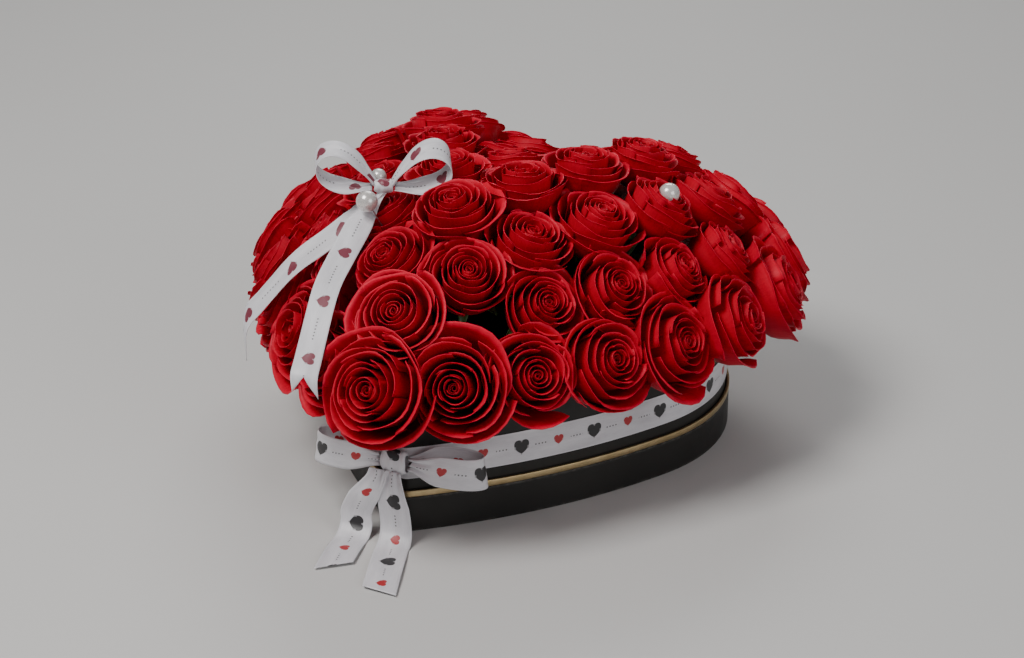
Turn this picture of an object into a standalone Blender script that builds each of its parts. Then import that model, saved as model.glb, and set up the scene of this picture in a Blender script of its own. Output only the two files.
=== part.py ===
"""Heart-shaped flower box: a card box that stands in its own upturned lid, filled with a dome of roses.

Metres, +Z up. The origin is in the middle of the heart's length, on the underside of the lid. The heart is
symmetrical about the YZ plane and its point faces -Y.
"""

import math

import bpy
import numpy as np
from mathutils import Matrix, Vector

# The heart, measured over the outside of the lid.
HEART_WIDTH = 0.325
HEART_LENGTH = 0.3416  # from the point where its two sides would meet to the tops of its lobes
SHOULDER_RADIUS = 0.137
SHOULDER_START = math.radians(-29)
SHOULDER_END = math.radians(35)
POINT_RADIUS = 0.010
NOTCH_RADIUS = 0.0015

# Card, trim and liner.
LID_HEIGHT = 0.033
LID_WALL = 0.002
LID_PANEL = 0.002
GOLD_HEIGHT = 0.005
GOLD_PROUD = 0.0003
BOX_CLEARANCE = 0.0008
BOX_WALL = 0.002
BOX_PANEL = 0.002
BOX_HEIGHT = 0.0957
TRAY_CLEARANCE = 0.0006
TRAY_WALL = 0.0008
TRAY_BELOW_RIM = 0.004
FOAM_CLEARANCE = 0.0006
GAP = 0.0003  # between pieces that touch or are glued

# Foam dome.
FOAM_EDGE_BELOW_RIM = 0.006
FOAM_RISE = 0.062
FOAM_RUN = 0.120
FOAM_STEPS = (1.0, 0.9, 0.75, 0.5, 0.25)

# Rose dome.
ROSE_PITCH = 0.060
ROSE_GRID = 0.050
ROSE_HEAD_DIAMETER = 0.057
ROSE_GAP = 0.0015
ROSE_OVERHANG = 0.036
ROSE_EDGE_ABOVE_RIM = 0.031
ROSE_RISE = 0.100
ROSE_RUN = 0.166
ROSE_EDGE_TILT = math.radians(27)
ROSE_UPRIGHT_DEPTH = 0.100
ROSE_CORE_SCALE = 0.25
STEM_RADIUS = 0.0024
STEM_GRIP = 0.012
STEM_CLEARANCE = 0.0005
JOINED_BAR_RADIUS = 0.004
NEIGHBOUR_REACH = 1.25  # in rose pitches
EDGE_ROSE_NODES = 21
INNER_ROSE_NODES = 18
TURN_STEPS = 8
# Each point is (radius, height) in head radii, from the stem up to the crown.
HEAD_PROFILE = ((0.62, -0.62), (1.0, 0.0), (0.80, 0.32))
HEAD_CROWN = 0.40
HEAD_BASE = -0.90

# Satin ribbon round the box, and its bow at the point.
BOX_RIBBON_WIDTH = 0.025
BOX_RIBBON_ABOVE_LID = 0.009
RIBBON_THICKNESS = 0.0006
BOX_KNOT = (0.020, 0.012, 0.022)
BOX_KNOT_PLACE = (-0.003, 0.004)  # across from the point, and above the middle of the ribbon
BOX_LOOP_LENGTH = 0.058
BOX_LOOP_DEPTH = 0.020
BOX_FRONT_TAIL_X = (0.06, 0.12, 0.18)  # in ribbon widths: at the knot, below it and where the tail hangs
BOX_LEFT_TAIL_X = (-0.46, -0.76, -1.08)
BOX_FRONT_TAIL_RUN = (0.024, 0.062)  # to the right and forwards, where the tail lies on the surface
BOX_LEFT_TAIL_RUN = (0.010, 0.046)

# Narrow satin bow on top of the roses.
TOP_BOW_PLACE = (-0.062, -0.070)
TOP_BOW_RIGHT = (0.914, 0.404, 0.0)  # the way its right loop points
TOP_RIBBON_WIDTH = 0.020
TOP_KNOT = (0.014, 0.012, 0.012)
TOP_KNOT_ABOVE_ROSE = 0.009
TOP_KNOT_ASIDE = 0.008  # to the right of the middle of the rose under it
TOP_LOOP_LENGTH = 0.048
TOP_LOOP_HEIGHT = 0.028
TOP_LOOP_NARROWING = 0.8
TOP_LOOP_RISE = math.radians(29)
TOP_TAIL_NECK = 0.009
TOP_TAIL_LIFT = 0.0185
TOP_TAIL_EDGE_LIFT = 0.009  # more lift over the outermost roses, which stand steeper than the dome
TOP_FRONT_TAIL_END = (-0.043, -0.181)
TOP_SIDE_TAIL_END = (-0.148, -0.129)
TOP_FRONT_TAIL_DROP = 0.022
TOP_SIDE_TAIL_DROP = 0.040

# Pearl-headed pins.
LARGE_PEARL = 0.016
SMALL_PEARL = 0.012
PIN_RADIUS = 0.0006
PIN_LENGTH = 0.030
PIN_CLEARANCE = 0.0004
LONE_PEARL_PLACE = (0.123, 0.047)
PEARL_TO_LOOP = 0.001
LARGE_PEARL_ASIDE = -0.012  # from the knot, to its right
SMALL_PEARL_ASIDE = -0.004
PEARL_ABOVE_KNOT = 0.002
LONE_PEARL_OFFSET = (0.001, -0.003, 0.002)  # from the crown of its rose

ARC_STEPS = {"point": 3, "side": 5, "shoulder": 4, "lobe": 9, "notch": 2}


def clear_scene():
    for obj in list(bpy.data.objects):
        bpy.data.objects.remove(obj, do_unlink=True)


def material(name, colour, roughness, metallic=0.0):
    made = bpy.data.materials.new(name)
    made.use_nodes = True
    shader = made.node_tree.nodes["Principled BSDF"]
    shader.inputs["Base Color"].default_value = (*colour, 1.0)
    shader.inputs["Roughness"].default_value = roughness
    shader.inputs["Metallic"].default_value = metallic
    return made


def add_mesh(name, points, faces, finish, matrix=None, smooth=False):
    mesh = bpy.data.meshes.new(name)
    mesh.from_pydata([tuple(point) for point in points], [], faces)
    mesh.validate()
    if smooth:
        mesh.shade_smooth()
        mesh.set_sharp_from_angle(angle=math.radians(40))
    obj = bpy.data.objects.new(name, mesh)
    bpy.context.scene.collection.objects.link(obj)
    if finish is not None:
        mesh.materials.append(finish)
    if matrix is not None:
        obj.matrix_world = matrix
    return obj


def hide_helper(obj):
    obj.hide_render = True
    obj.display_type = "WIRE"
    return obj


def boolean(obj, other, operation):
    modifier = obj.modifiers.new(f"{operation.lower()} {other.name}", "BOOLEAN")
    modifier.operation = operation
    modifier.solver = "EXACT"
    modifier.object = other
    return modifier


# ---- the heart outline ----------------------------------------------------------------------------


def heart_arcs():
    """The centres and radii of the arcs of the right half, worked out from the driving sizes."""
    shoulder_x = HEART_WIDTH / 2 - SHOULDER_RADIUS
    turn = math.cos(SHOULDER_END)
    lobe_radius = (shoulder_x + SHOULDER_RADIUS * turn - NOTCH_RADIUS) / (1 + turn)
    step = SHOULDER_RADIUS - lobe_radius
    lobe_y = HEART_LENGTH / 2 - lobe_radius
    shoulder = np.array([shoulder_x, lobe_y - step * math.sin(SHOULDER_END)])
    lobe = np.array([shoulder_x + step * turn, lobe_y])
    point = np.array([0.0, -HEART_LENGTH / 2])
    towards = np.array([math.cos(SHOULDER_START), math.sin(SHOULDER_START)])
    reach = shoulder - point
    back = (reach @ reach - SHOULDER_RADIUS**2) / (2 * (reach @ towards + SHOULDER_RADIUS))
    side = shoulder - back * towards
    side_radius = back + SHOULDER_RADIUS
    round_y = side[1] - math.sqrt((side_radius - POINT_RADIUS) ** 2 - side[0] ** 2)
    return {
        "point": ((0.0, round_y), POINT_RADIUS),
        "side": (tuple(side), side_radius),
        "shoulder": (tuple(shoulder), SHOULDER_RADIUS),
        "lobe": (tuple(lobe), lobe_radius),
        "notch": ((0.0, lobe[1]), -NOTCH_RADIUS),
        "side start": math.atan2(round_y - side[1], -side[0]),
    }


ARCS = heart_arcs()


def arc(name, inset, start, end, steps=None):
    """Points of one arc of the outline, moved inwards by inset. A negative radius is a hollow arc."""
    (x, y), radius = ARCS[name]
    radius = abs(radius - inset)
    steps = steps or ARC_STEPS[name]
    turns = (start + (end - start) * i / steps for i in range(steps + 1))
    return [(x + radius * math.cos(turn), y + radius * math.sin(turn)) for turn in turns]


def mirrored(half):
    """The whole outline, anticlockwise from the point, from its right half."""
    return half + [(-x, y) for x, y in half[-2:0:-1]]


def half_to_lobe(inset, lobe_end, steps=None):
    half = arc("point", inset, -math.pi / 2, ARCS["side start"], steps)
    half += arc("side", inset, ARCS["side start"], SHOULDER_START, steps)[1:]
    half += arc("shoulder", inset, SHOULDER_START, SHOULDER_END, steps)[1:]
    return half + arc("lobe", inset, SHOULDER_END, lobe_end, steps)[1:]


def heart(inset):
    half = half_to_lobe(inset, math.pi)
    return mirrored(half + arc("notch", inset, 0.0, -math.pi / 2)[1:])


def taut_heart(inset):
    """The outline that a taut ribbon takes: it spans straight from lobe to lobe across the notch."""
    half = half_to_lobe(inset, math.pi / 2)
    return mirrored(half + [(0.0, half[-1][1])])


def heart_centre_y():
    return (ARCS["lobe"][0][1] - HEART_LENGTH / 2) / 2


def scaled(outline, scale):
    middle = heart_centre_y()
    return [(x * scale, middle + (y - middle) * scale) for x, y in outline]


def measure(places, outline):
    """The depth of each place inside an outline, negative outside, and the unit vector that leads out."""
    start = np.array(outline)
    run = np.roll(start, -1, axis=0) - start
    offset = places[:, None] - start[None]
    along = np.clip((offset * run).sum(2) / (run**2).sum(1), 0, 1)
    away = offset - along[..., None] * run
    distance = np.sqrt((away**2).sum(2))
    nearest = distance.argmin(1)
    rows = np.arange(len(places))
    depth = distance[rows, nearest]
    direction = away[rows, nearest] / np.maximum(depth, 1e-9)[:, None]
    x, y = places[:, :1], places[:, 1:]
    end = start + run
    crossed = (start[:, 1] > y) != (end[:, 1] > y)
    rise = np.where(np.abs(run[:, 1]) < 1e-12, 1e-12, run[:, 1])
    crossed &= x < run[:, 0] * (y - start[:, 1]) / rise + start[:, 0]
    inside = crossed.sum(1) % 2 == 1
    sign = np.where(inside, 1.0, -1.0)
    return depth * sign, direction * -sign[:, None]


# ---- plates, rings and strips ---------------------------------------------------------------------


def plate(name, outline, bottom, top, finish):
    count = len(outline)
    points = [(x, y, z) for z in (bottom, top) for x, y in outline]
    faces = [tuple(range(count))[::-1], tuple(range(count, 2 * count))]
    for i in range(count):
        j = (i + 1) % count
        faces.append((i, j, count + j, count + i))
    return add_mesh(name, points, faces, finish)


def loop_band(lower, upper, count, flip=False):
    """Quads between two loops of points with these first indices."""
    quads = []
    for i in range(count):
        j = (i + 1) % count
        quad = (lower + i, lower + j, upper + j, upper + i)
        quads.append(quad[::-1] if flip else quad)
    return quads


def ring(name, outer, inner, bottom, top, finish):
    count = len(outer)
    loops = ((outer, bottom), (outer, top), (inner, top), (inner, bottom))
    points = [(x, y, z) for outline, z in loops for x, y in outline]
    faces = []
    for i in range(4):
        faces += loop_band(i * count, (i + 1) % 4 * count, count)
    return add_mesh(name, points, faces, finish)


def open_tray(name, outer, inner, bottom, floor, top, finish):
    count = len(outer)
    loops = ((outer, bottom), (outer, top), (inner, top), (inner, floor))
    points = [(x, y, z) for outline, z in loops for x, y in outline]
    faces = [tuple(range(count))[::-1]]
    for i in range(3):
        faces += loop_band(i * count, (i + 1) * count, count)
    faces.append(tuple(range(3 * count, 4 * count)))
    return add_mesh(name, points, faces, finish)


def strip(name, centres, sides, widths, finish):
    """A ribbon through these centres. Each side is the unit vector across the ribbon there."""
    centres = [Vector(centre) for centre in centres]
    points = []
    for i, (centre, side, width) in enumerate(zip(centres, sides, widths)):
        before = centres[max(i - 1, 0)]
        after = centres[min(i + 1, len(centres) - 1)]
        normal = (after - before).normalized().cross(Vector(side)).normalized()
        across = Vector(side) * width / 2
        through = normal * RIBBON_THICKNESS / 2
        points += [centre - across - through, centre + across - through]
        points += [centre + across + through, centre - across + through]
    faces = [(0, 1, 2, 3)]
    for i in range(len(centres) - 1):
        faces += loop_band(4 * i, 4 * i + 4, 4, flip=True)
    last = 4 * (len(centres) - 1)
    faces.append((last + 3, last + 2, last + 1, last))
    obj = add_mesh(name, points, faces, finish)
    outwards(obj.data)
    return obj


def outwards(mesh):
    """Turns every face round when the closed mesh is inside out."""
    mesh.calc_loop_triangles()
    volume = 0.0
    for triangle in mesh.loop_triangles:
        a, b, c = (mesh.vertices[index].co for index in triangle.vertices)
        volume += a.dot(b.cross(c))
    if volume < 0:
        mesh.flip_normals()


def bow_loop(name, frame, length, height, width, finish):
    """A flat ribbon loop: a drop-shaped path in the frame's XZ plane, open where it enters the knot."""
    steps = 12
    opening = 0.45
    centres = []
    for i in range(steps + 1):
        turn = opening + (2 * math.pi - 2 * opening) * i / steps
        x = length / 2 * (1 - math.cos(turn))
        z = height * 0.62 * math.sin(turn) * math.sin(turn / 2)
        centres.append(frame @ Vector((x, 0.0, z)))
    side = (frame.to_3x3() @ Vector((0.0, 1.0, 0.0))).normalized()
    return strip(name, centres, [side] * len(centres), [width] * len(centres), finish)


def knot(name, frame, size, finish):
    """A pinched block with its middle swollen, as a ribbon knot has."""
    width, depth, height = size
    points = []
    for z, scale in ((-0.5, 0.72), (0.0, 1.0), (0.5, 0.72)):
        for i in range(TURN_STEPS):
            turn = 2 * math.pi * (i + 0.5) / TURN_STEPS
            x = width / 2 * scale * math.cos(turn)
            y = depth / 2 * scale * math.sin(turn)
            points.append((x, y, z * height))
    count = TURN_STEPS
    faces = [tuple(range(count))[::-1], tuple(range(2 * count, 3 * count))]
    faces += loop_band(0, count, count) + loop_band(count, 2 * count, count)
    return add_mesh(name, points, faces, finish, frame, smooth=True)


def turned(name, profile, finish, matrix, steps=TURN_STEPS, smooth=True):
    """A closed turned solid. The profile's first and last points are on the axis, from bottom to top."""
    points = [(0.0, 0.0, profile[0][1])]
    for radius, height in profile[1:-1]:
        for i in range(steps):
            turn = 2 * math.pi * i / steps
            points.append((radius * math.cos(turn), radius * math.sin(turn), height))
    points.append((0.0, 0.0, profile[-1][1]))
    faces = [(0, 1 + (i + 1) % steps, 1 + i) for i in range(steps)]
    for band in range(len(profile) - 3):
        faces += loop_band(1 + band * steps, 1 + (band + 1) * steps, steps)
    top = len(points) - 1
    first = top - steps
    faces += [(first + i, first + (i + 1) % steps, top) for i in range(steps)]
    return add_mesh(name, points, faces, finish, matrix, smooth)


def axis_frame(place, axis, towards=(1.0, 0.0, 0.0)):
    """A frame at place whose Z is the axis and whose X leans towards the given direction."""
    z = Vector(axis).normalized()
    x = Vector(towards)
    x = (x - z * x.dot(z)).normalized()
    y = z.cross(x)
    rotation = Matrix((x, y, z)).transposed()
    return Matrix.Translation(Vector(place)) @ rotation.to_4x4()


# ---- levels that pieces share ---------------------------------------------------------------------

BOX_OUTSIDE = LID_WALL + BOX_CLEARANCE
BOX_INSIDE = BOX_OUTSIDE + BOX_WALL
TRAY_OUTSIDE = BOX_INSIDE + TRAY_CLEARANCE
TRAY_INSIDE = TRAY_OUTSIDE + TRAY_WALL
FOAM_OUTSIDE = TRAY_INSIDE + FOAM_CLEARANCE
BOX_BOTTOM = LID_PANEL + GAP
BOX_RIM = BOX_BOTTOM + BOX_HEIGHT
TRAY_BOTTOM = BOX_BOTTOM + BOX_PANEL + GAP
FOAM_BOTTOM = TRAY_BOTTOM + TRAY_WALL + GAP
RIBBON_BOTTOM = LID_HEIGHT + BOX_RIBBON_ABOVE_LID
RIBBON_MIDDLE = RIBBON_BOTTOM + BOX_RIBBON_WIDTH / 2
LID_OUTLINE = heart(0.0)
CORE_OUTLINE = scaled(LID_OUTLINE, ROSE_CORE_SCALE)


def foam_height(depth):
    part = np.clip(depth / FOAM_RUN, 0, 1)
    return BOX_RIM - FOAM_EDGE_BELOW_RIM + FOAM_RISE * (1 - (1 - part) ** 2)


def rose_height(depth):
    part = np.clip((depth + ROSE_OVERHANG) / ROSE_RUN, 0, 1)
    return BOX_RIM + ROSE_EDGE_ABOVE_RIM + ROSE_RISE * (1 - (1 - part) ** 2)


def rose_axes(places):
    """The way each rose faces: low at the overhanging edge and upright well inside."""
    depth, _ = measure(places, LID_OUTLINE)
    core, out = measure(places, CORE_OUTLINE)
    part = (depth + ROSE_OVERHANG) / (ROSE_UPRIGHT_DEPTH + ROSE_OVERHANG)
    tilt = ROSE_EDGE_TILT + (math.pi / 2 - ROSE_EDGE_TILT) * np.clip(part, 0, 1)
    tilt = np.where(core > 0, math.pi / 2, tilt)
    return np.column_stack([out * np.cos(tilt)[:, None], np.sin(tilt)])


def on_dome(places):
    depth, _ = measure(places, LID_OUTLINE)
    return np.column_stack([places, rose_height(depth)])


# ---- where the roses stand ------------------------------------------------------------------------


def edge_places():
    """Roses side by side all round the overhanging edge, starting at the heart's point."""
    reach = ARCS["lobe"][1] + ROSE_OVERHANG
    valley = math.pi - math.acos(min(1.0, ARCS["lobe"][0][0] / reach))
    half = half_to_lobe(-ROSE_OVERHANG, valley, steps=40)
    loop = np.array(half + [(-x, y) for x, y in half[::-1]])
    length = np.append(0, np.cumsum(np.linalg.norm(np.diff(loop, axis=0), axis=1)))
    count = int(length[-1] / ROSE_PITCH)
    along = np.arange(count) * length[-1] / count
    return np.column_stack([np.interp(along, length, loop[:, 0]), np.interp(along, length, loop[:, 1])])


def inner_places():
    """A triangular grid over the heart, row by row from the point, alternate rows the other way."""
    row_step = ROSE_GRID * math.sqrt(3) / 2
    rows = int(HEART_LENGTH / row_step) + 1
    half_row = int(HEART_WIDTH / ROSE_GRID / 2) + 1
    places = []
    for row in range(rows):
        y = -HEART_LENGTH / 2 + ROSE_GRID / 2 + row * row_step
        shift = 0.5 if row % 2 else 0.0
        line = [((i + shift) * ROSE_GRID, y) for i in range(-half_row, half_row + 1)]
        places += line if row % 2 else line[::-1]
    places = np.array(places)
    depth, _ = measure(places, LID_OUTLINE)
    return places[depth > -0.002]


def settle(edge, inner, rounds=300):
    """Pushes the roses apart over the dome until each has its own room, the edge row staying on its line."""
    places = np.vstack([edge, inner])
    on_edge = np.arange(len(places)) < len(edge)
    places = places + np.random.default_rng(1).normal(0, 0.001, places.shape)
    others = 1 - np.eye(len(places))
    notch_y = ARCS["lobe"][0][1] - 0.005
    inner_edge = -0.004
    for _ in range(rounds):
        heads = on_dome(places)
        apart = heads[:, None] - heads[None]
        distance = np.sqrt((apart**2).sum(2)) + np.eye(len(places))
        push = np.clip(ROSE_PITCH - distance, 0, None) * others
        places = places + 0.4 * (apart / distance[..., None] * push[..., None]).sum(1)[:, :2]
        depth, out = measure(places, LID_OUTLINE)
        places[on_edge] += (out * (depth + ROSE_OVERHANG)[:, None])[on_edge]
        spilt = ~on_edge & (depth < inner_edge)
        places[spilt] += (out * (depth - inner_edge)[:, None])[spilt]
        over_notch = (places[:, 1] > notch_y) & (np.abs(places[:, 0]) < ROSE_PITCH / 2)
        sign = np.where(places[:, 0] < 0, -1.0, 1.0)
        places[over_notch, 0] = (sign * ROSE_PITCH / 2)[over_notch]
    return places


def head_radii(heads):
    """Each head opens as wide as its nearest neighbour lets it."""
    apart = np.sqrt(((heads[:, None] - heads[None]) ** 2).sum(2)) + np.eye(len(heads))
    return np.minimum(ROSE_HEAD_DIAMETER, apart.min(1) - ROSE_GAP) / 2


def stem_length(head, axis):
    """How far the stem runs down its axis to grip the foam by STEM_GRIP."""
    runs = np.arange(0.020, 0.200, 0.001)
    line = head - axis * runs[:, None]
    depth, _ = measure(line[:, :2], LID_OUTLINE)
    in_foam = (line[:, 2] < foam_height(depth)) & (depth > FOAM_OUTSIDE)
    return runs[in_foam.argmax()] + STEM_GRIP


def join_neighbours(heads, members, most):
    """Joins neighbouring roses, smallest groups first, until there are at most this many groups.

    Gives each group's roses and the pairs of them whose heads meet.
    """
    groups = [([i], []) for i in members]
    while len(groups) > most:
        choices = []
        for a, (first, _) in enumerate(groups):
            for b, (second, _) in enumerate(groups[:a]):
                apart, i, j = min((np.linalg.norm(heads[i] - heads[j]), i, j) for i in first for j in second)
                if apart < ROSE_PITCH * NEIGHBOUR_REACH:
                    choices.append((len(first) + len(second), apart, a, b, (i, j)))
        _, _, a, b, meeting = min(choices)
        first, bars = groups.pop(a)
        groups[b] = (groups[b][0] + first, groups[b][1] + bars + [meeting])
    return groups


class Roses:
    """Where every rose stands, faces and ends, worked out once."""

    def __init__(self):
        edge, inner = edge_places(), inner_places()
        self.edge_count = len(edge)
        places = settle(edge, inner)
        self.heads = on_dome(places)
        self.axes = rose_axes(places)
        self.radii = head_radii(self.heads)
        self.stems = [stem_length(head, axis) for head, axis in zip(self.heads, self.axes)]

    def frame(self, i, towards=(1.0, 0.0, 0.0)):
        return axis_frame(self.heads[i], self.axes[i], towards)

    def nearest(self, place):
        return int(((self.heads[:, :2] - np.array(place)) ** 2).sum(1).argmin())


# ---- the pieces -----------------------------------------------------------------------------------


def make_lid(card, gold):
    plate("lid_panel", heart(LID_WALL + GAP), 0.0, LID_PANEL, card)
    gold_bottom = LID_HEIGHT - GOLD_HEIGHT
    ring("lid_side_wall", heart(0.0), heart(LID_WALL), 0.0, gold_bottom - GAP, card)
    ring("lid_gold_edge", heart(-GOLD_PROUD), heart(LID_WALL), gold_bottom, LID_HEIGHT, gold)


def make_box(card):
    plate("box_bottom_panel", heart(BOX_INSIDE + GAP), BOX_BOTTOM, BOX_BOTTOM + BOX_PANEL, card)
    ring("box_side_wall", heart(BOX_OUTSIDE), heart(BOX_INSIDE), BOX_BOTTOM, BOX_RIM, card)


def make_box_ribbon(satin):
    face = BOX_OUTSIDE - GAP
    band_top = RIBBON_BOTTOM + BOX_RIBBON_WIDTH
    outer, inner = taut_heart(face - RIBBON_THICKNESS), taut_heart(face)
    ring("box_ribbon_band", outer, inner, RIBBON_BOTTOM, band_top, satin)
    front = min(y for _, y in outer) - GAP
    width, depth, height = BOX_KNOT
    middle = Vector((BOX_KNOT_PLACE[0], front - depth / 2, RIBBON_MIDDLE + BOX_KNOT_PLACE[1]))
    knot("box_bow_knot", Matrix.Translation(middle), BOX_KNOT, satin)
    for name, sign, swing in (("left", -1, 172), ("right", 1, 15)):
        start = middle + Vector((sign * (width / 2 - 0.001), 0.0, 0.0))
        along = Matrix.Rotation(math.radians(swing), 4, "Z")
        flat = Matrix.Rotation(math.radians(90), 4, "X")
        frame = Matrix.Translation(start) @ along @ flat
        length = BOX_LOOP_LENGTH
        bow_loop(f"box_bow_loop_{name}", frame, length, BOX_LOOP_DEPTH, BOX_RIBBON_WIDTH, satin)
    make_box_tail("front", middle, BOX_FRONT_TAIL_X, BOX_FRONT_TAIL_RUN, satin)
    make_box_tail("left", middle, BOX_LEFT_TAIL_X, BOX_LEFT_TAIL_RUN, satin)


def make_box_tail(name, middle, shifts, run, satin):
    """A tail that hangs from the knot in front of the lid and lies forward on the surface."""
    drift, reach = run
    rest = RIBBON_THICKNESS / 2 + GAP
    top = middle.z - BOX_KNOT[2] / 2 + 0.002
    front = middle.y - BOX_KNOT[1] / 2
    bend = 0.014
    shifts = [middle.x + shift * BOX_RIBBON_WIDTH for shift in shifts]
    path = [Vector((shifts[0], front - 0.001, top)), Vector((shifts[1], front - 0.003, top * 0.72))]
    path.append(Vector((shifts[2], front - 0.004, bend + rest)))
    for i in range(1, 5):
        turn = math.pi / 2 * i / 4
        y = front - 0.004 - bend * (1 - math.cos(turn))
        z = rest + bend * (1 - math.sin(turn))
        path.append(Vector((shifts[2] + drift * 0.15 * i / 4, y, z)))
    path.append(path[-1] + Vector((drift * 0.85, -reach, 0.0)))
    along = path[-1] - path[-2]
    across = Vector((-along.y, along.x, 0.0)).normalized()
    across = across if across.x > 0 else -across
    neck = BOX_RIBBON_WIDTH * 0.5
    widths = [neck, neck * 1.4] + [BOX_RIBBON_WIDTH] * (len(path) - 2)
    sides = [Vector((1.0, 0.0, 0.0))] * 3 + [across] * (len(path) - 3)
    strip(f"box_bow_tail_{name}", path, sides, widths, satin)


def make_filling(liner, foam):
    tray_top = BOX_RIM - TRAY_BELOW_RIM
    floor = TRAY_BOTTOM + TRAY_WALL
    outer, inner = heart(TRAY_OUTSIDE), heart(TRAY_INSIDE)
    open_tray("foam_tray", outer, inner, TRAY_BOTTOM, floor, tray_top, liner)
    outline = heart(FOAM_OUTSIDE)
    count = len(outline)
    points = [(x, y, FOAM_BOTTOM) for x, y in outline]
    for scale in FOAM_STEPS:
        places = np.array(scaled(outline, scale))
        depth, _ = measure(places, LID_OUTLINE)
        points += [(x, y, z) for (x, y), z in zip(places, foam_height(depth))]
    middle = np.array([[0.0, heart_centre_y()]])
    depth, _ = measure(middle, LID_OUTLINE)
    points.append((*middle[0], float(foam_height(depth)[0])))
    faces = [tuple(range(count))[::-1]]
    for i in range(len(FOAM_STEPS)):
        faces += loop_band(i * count, (i + 1) * count, count)
    first = len(FOAM_STEPS) * count
    faces += [(first + i, first + (i + 1) % count, len(points) - 1) for i in range(count)]
    return add_mesh("floral_foam", points, faces, foam)


def rose_solid(name, roses, i, finish):
    radius = roses.radii[i]
    foot = -roses.stems[i]
    neck = HEAD_BASE * radius
    profile = [(0.0, foot), (STEM_RADIUS, foot), (STEM_RADIUS, neck)]
    profile += [(part * radius, height * radius) for part, height in HEAD_PROFILE]
    profile.append((0.0, HEAD_CROWN * radius))
    return turned(name, profile, finish, roses.frame(i))


def make_roses(roses, petals):
    """One node for each edge rose, and one for each two or so of the inner roses, whose heads meet."""
    owner = {}
    edge = range(roses.edge_count)
    inner = range(roses.edge_count, len(roses.heads))
    for members, most, label in ((edge, EDGE_ROSE_NODES, "edge_rose"), (inner, INNER_ROSE_NODES, "inner_roses")):
        for number, (group, meetings) in enumerate(join_neighbours(roses.heads, members, most), 1):
            name = f"{label}_{number:02d}"
            node = rose_solid(name, roses, group[0], petals)
            for i, j in meetings:
                boolean(node, hide_helper(joining_bar(name, roses, i, j, petals)), "UNION").use_self = True
            for i in group[1:]:
                extra = hide_helper(rose_solid(f"{name}_head_{i}", roses, i, petals))
                boolean(node, extra, "UNION").use_self = True
            owner.update({i: node for i in group})
    return owner


def joining_bar(name, roses, i, j, finish):
    """Stands for the petals of two heads that press against each other."""
    ends = [Vector(roses.heads[k] - 0.15 * roses.radii[k] * roses.axes[k]) for k in (i, j)]
    run = ends[1] - ends[0]
    radius = JOINED_BAR_RADIUS
    profile = [(0.0, 0.0), (radius, 0.0), (radius, run.length), (0.0, run.length)]
    frame = axis_frame(ends[0], run, towards=(0.3, 0.2, 1.0))
    return turned(f"{name}_bar_{i}_{j}", profile, finish, frame, steps=6)


def bore_foam(foam, roses):
    """One hole for each stem, with clearance round it and below its foot."""
    above = 0.060
    radius = (STEM_RADIUS + STEM_CLEARANCE) / math.cos(math.pi / TURN_STEPS)
    points, faces = [], []
    for i, length in enumerate(roses.stems):
        foot = -length - STEM_CLEARANCE
        frame = roses.frame(i)
        first = len(points)
        for height in (foot, foot + above):
            for step in range(TURN_STEPS):
                turn = 2 * math.pi * step / TURN_STEPS
                points.append(frame @ Vector((radius * math.cos(turn), radius * math.sin(turn), height)))
        faces.append(tuple(range(first, first + TURN_STEPS))[::-1])
        faces.append(tuple(range(first + TURN_STEPS, first + 2 * TURN_STEPS)))
        faces += loop_band(first, first + TURN_STEPS, TURN_STEPS)
    cutter = hide_helper(add_mesh("stem_hole_cutter", points, faces, None))
    boolean(foam, cutter, "DIFFERENCE").use_self = True


def pin_profile(pearl, grow):
    """A bead on its wire, with every surface moved outwards by grow."""
    bead, radius = pearl / 2 + grow, PIN_RADIUS + grow
    meet = math.sqrt(bead**2 - radius**2)
    foot = -pearl / 2 - PIN_LENGTH - grow
    profile = [(0.0, foot), (radius, foot), (radius, -meet)]
    for i in range(1, 8):
        turn = math.pi * i / 8
        profile.append((bead * math.sin(turn), -bead * math.cos(turn)))
    return profile + [(0.0, bead)]


def make_pin(name, frame, offset, pearl, node, pearly):
    """A pearl on a wire pin, and the hole in the rose that holds it. The frame is at the bead's middle."""
    place = frame @ Matrix.Translation(offset)
    turned(name, pin_profile(pearl, 0.0), pearly, place, steps=12)
    cutter = hide_helper(turned(f"{name}_hole", pin_profile(pearl, PIN_CLEARANCE), None, place, steps=12))
    boolean(node, cutter, "DIFFERENCE")


def make_top_tail(name, start, end, drop, satin):
    """A tail that runs down over the roses and hangs a little way past the outermost ones."""
    plan = np.array(start.xy[:])
    line = plan + (np.array(end) - plan) * np.linspace(0.10, 1.0, 40)[:, None]
    depth, _ = measure(line, LID_OUTLINE)
    line = line[depth > -ROSE_OVERHANG]
    line = line[np.linspace(0, len(line) - 1, 8).astype(int)]
    depth, _ = measure(line, LID_OUTLINE)
    near_edge = np.clip(1 - (depth + ROSE_OVERHANG) / ROSE_PITCH, 0, 1)
    lift = TOP_TAIL_LIFT + TOP_TAIL_EDGE_LIFT * near_edge
    over = on_dome(line) + lift[:, None] * rose_axes(line)
    path = [Vector(point) for point in over]
    out = Vector((*(np.array(end) - plan), 0.0)).normalized()
    path.append(path[-1] + out * 0.012 - Vector((0.0, 0.0, drop * 0.4)))
    path.append(path[-1] + out * 0.001 - Vector((0.0, 0.0, drop * 0.6)))
    side = Vector((-out.y, out.x, 0.0))
    widths = [TOP_TAIL_NECK, TOP_TAIL_NECK * 1.5] + [TOP_RIBBON_WIDTH] * (len(path) - 2)
    strip(f"top_bow_tail_{name}", path, [side] * len(path), widths, satin)


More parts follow.
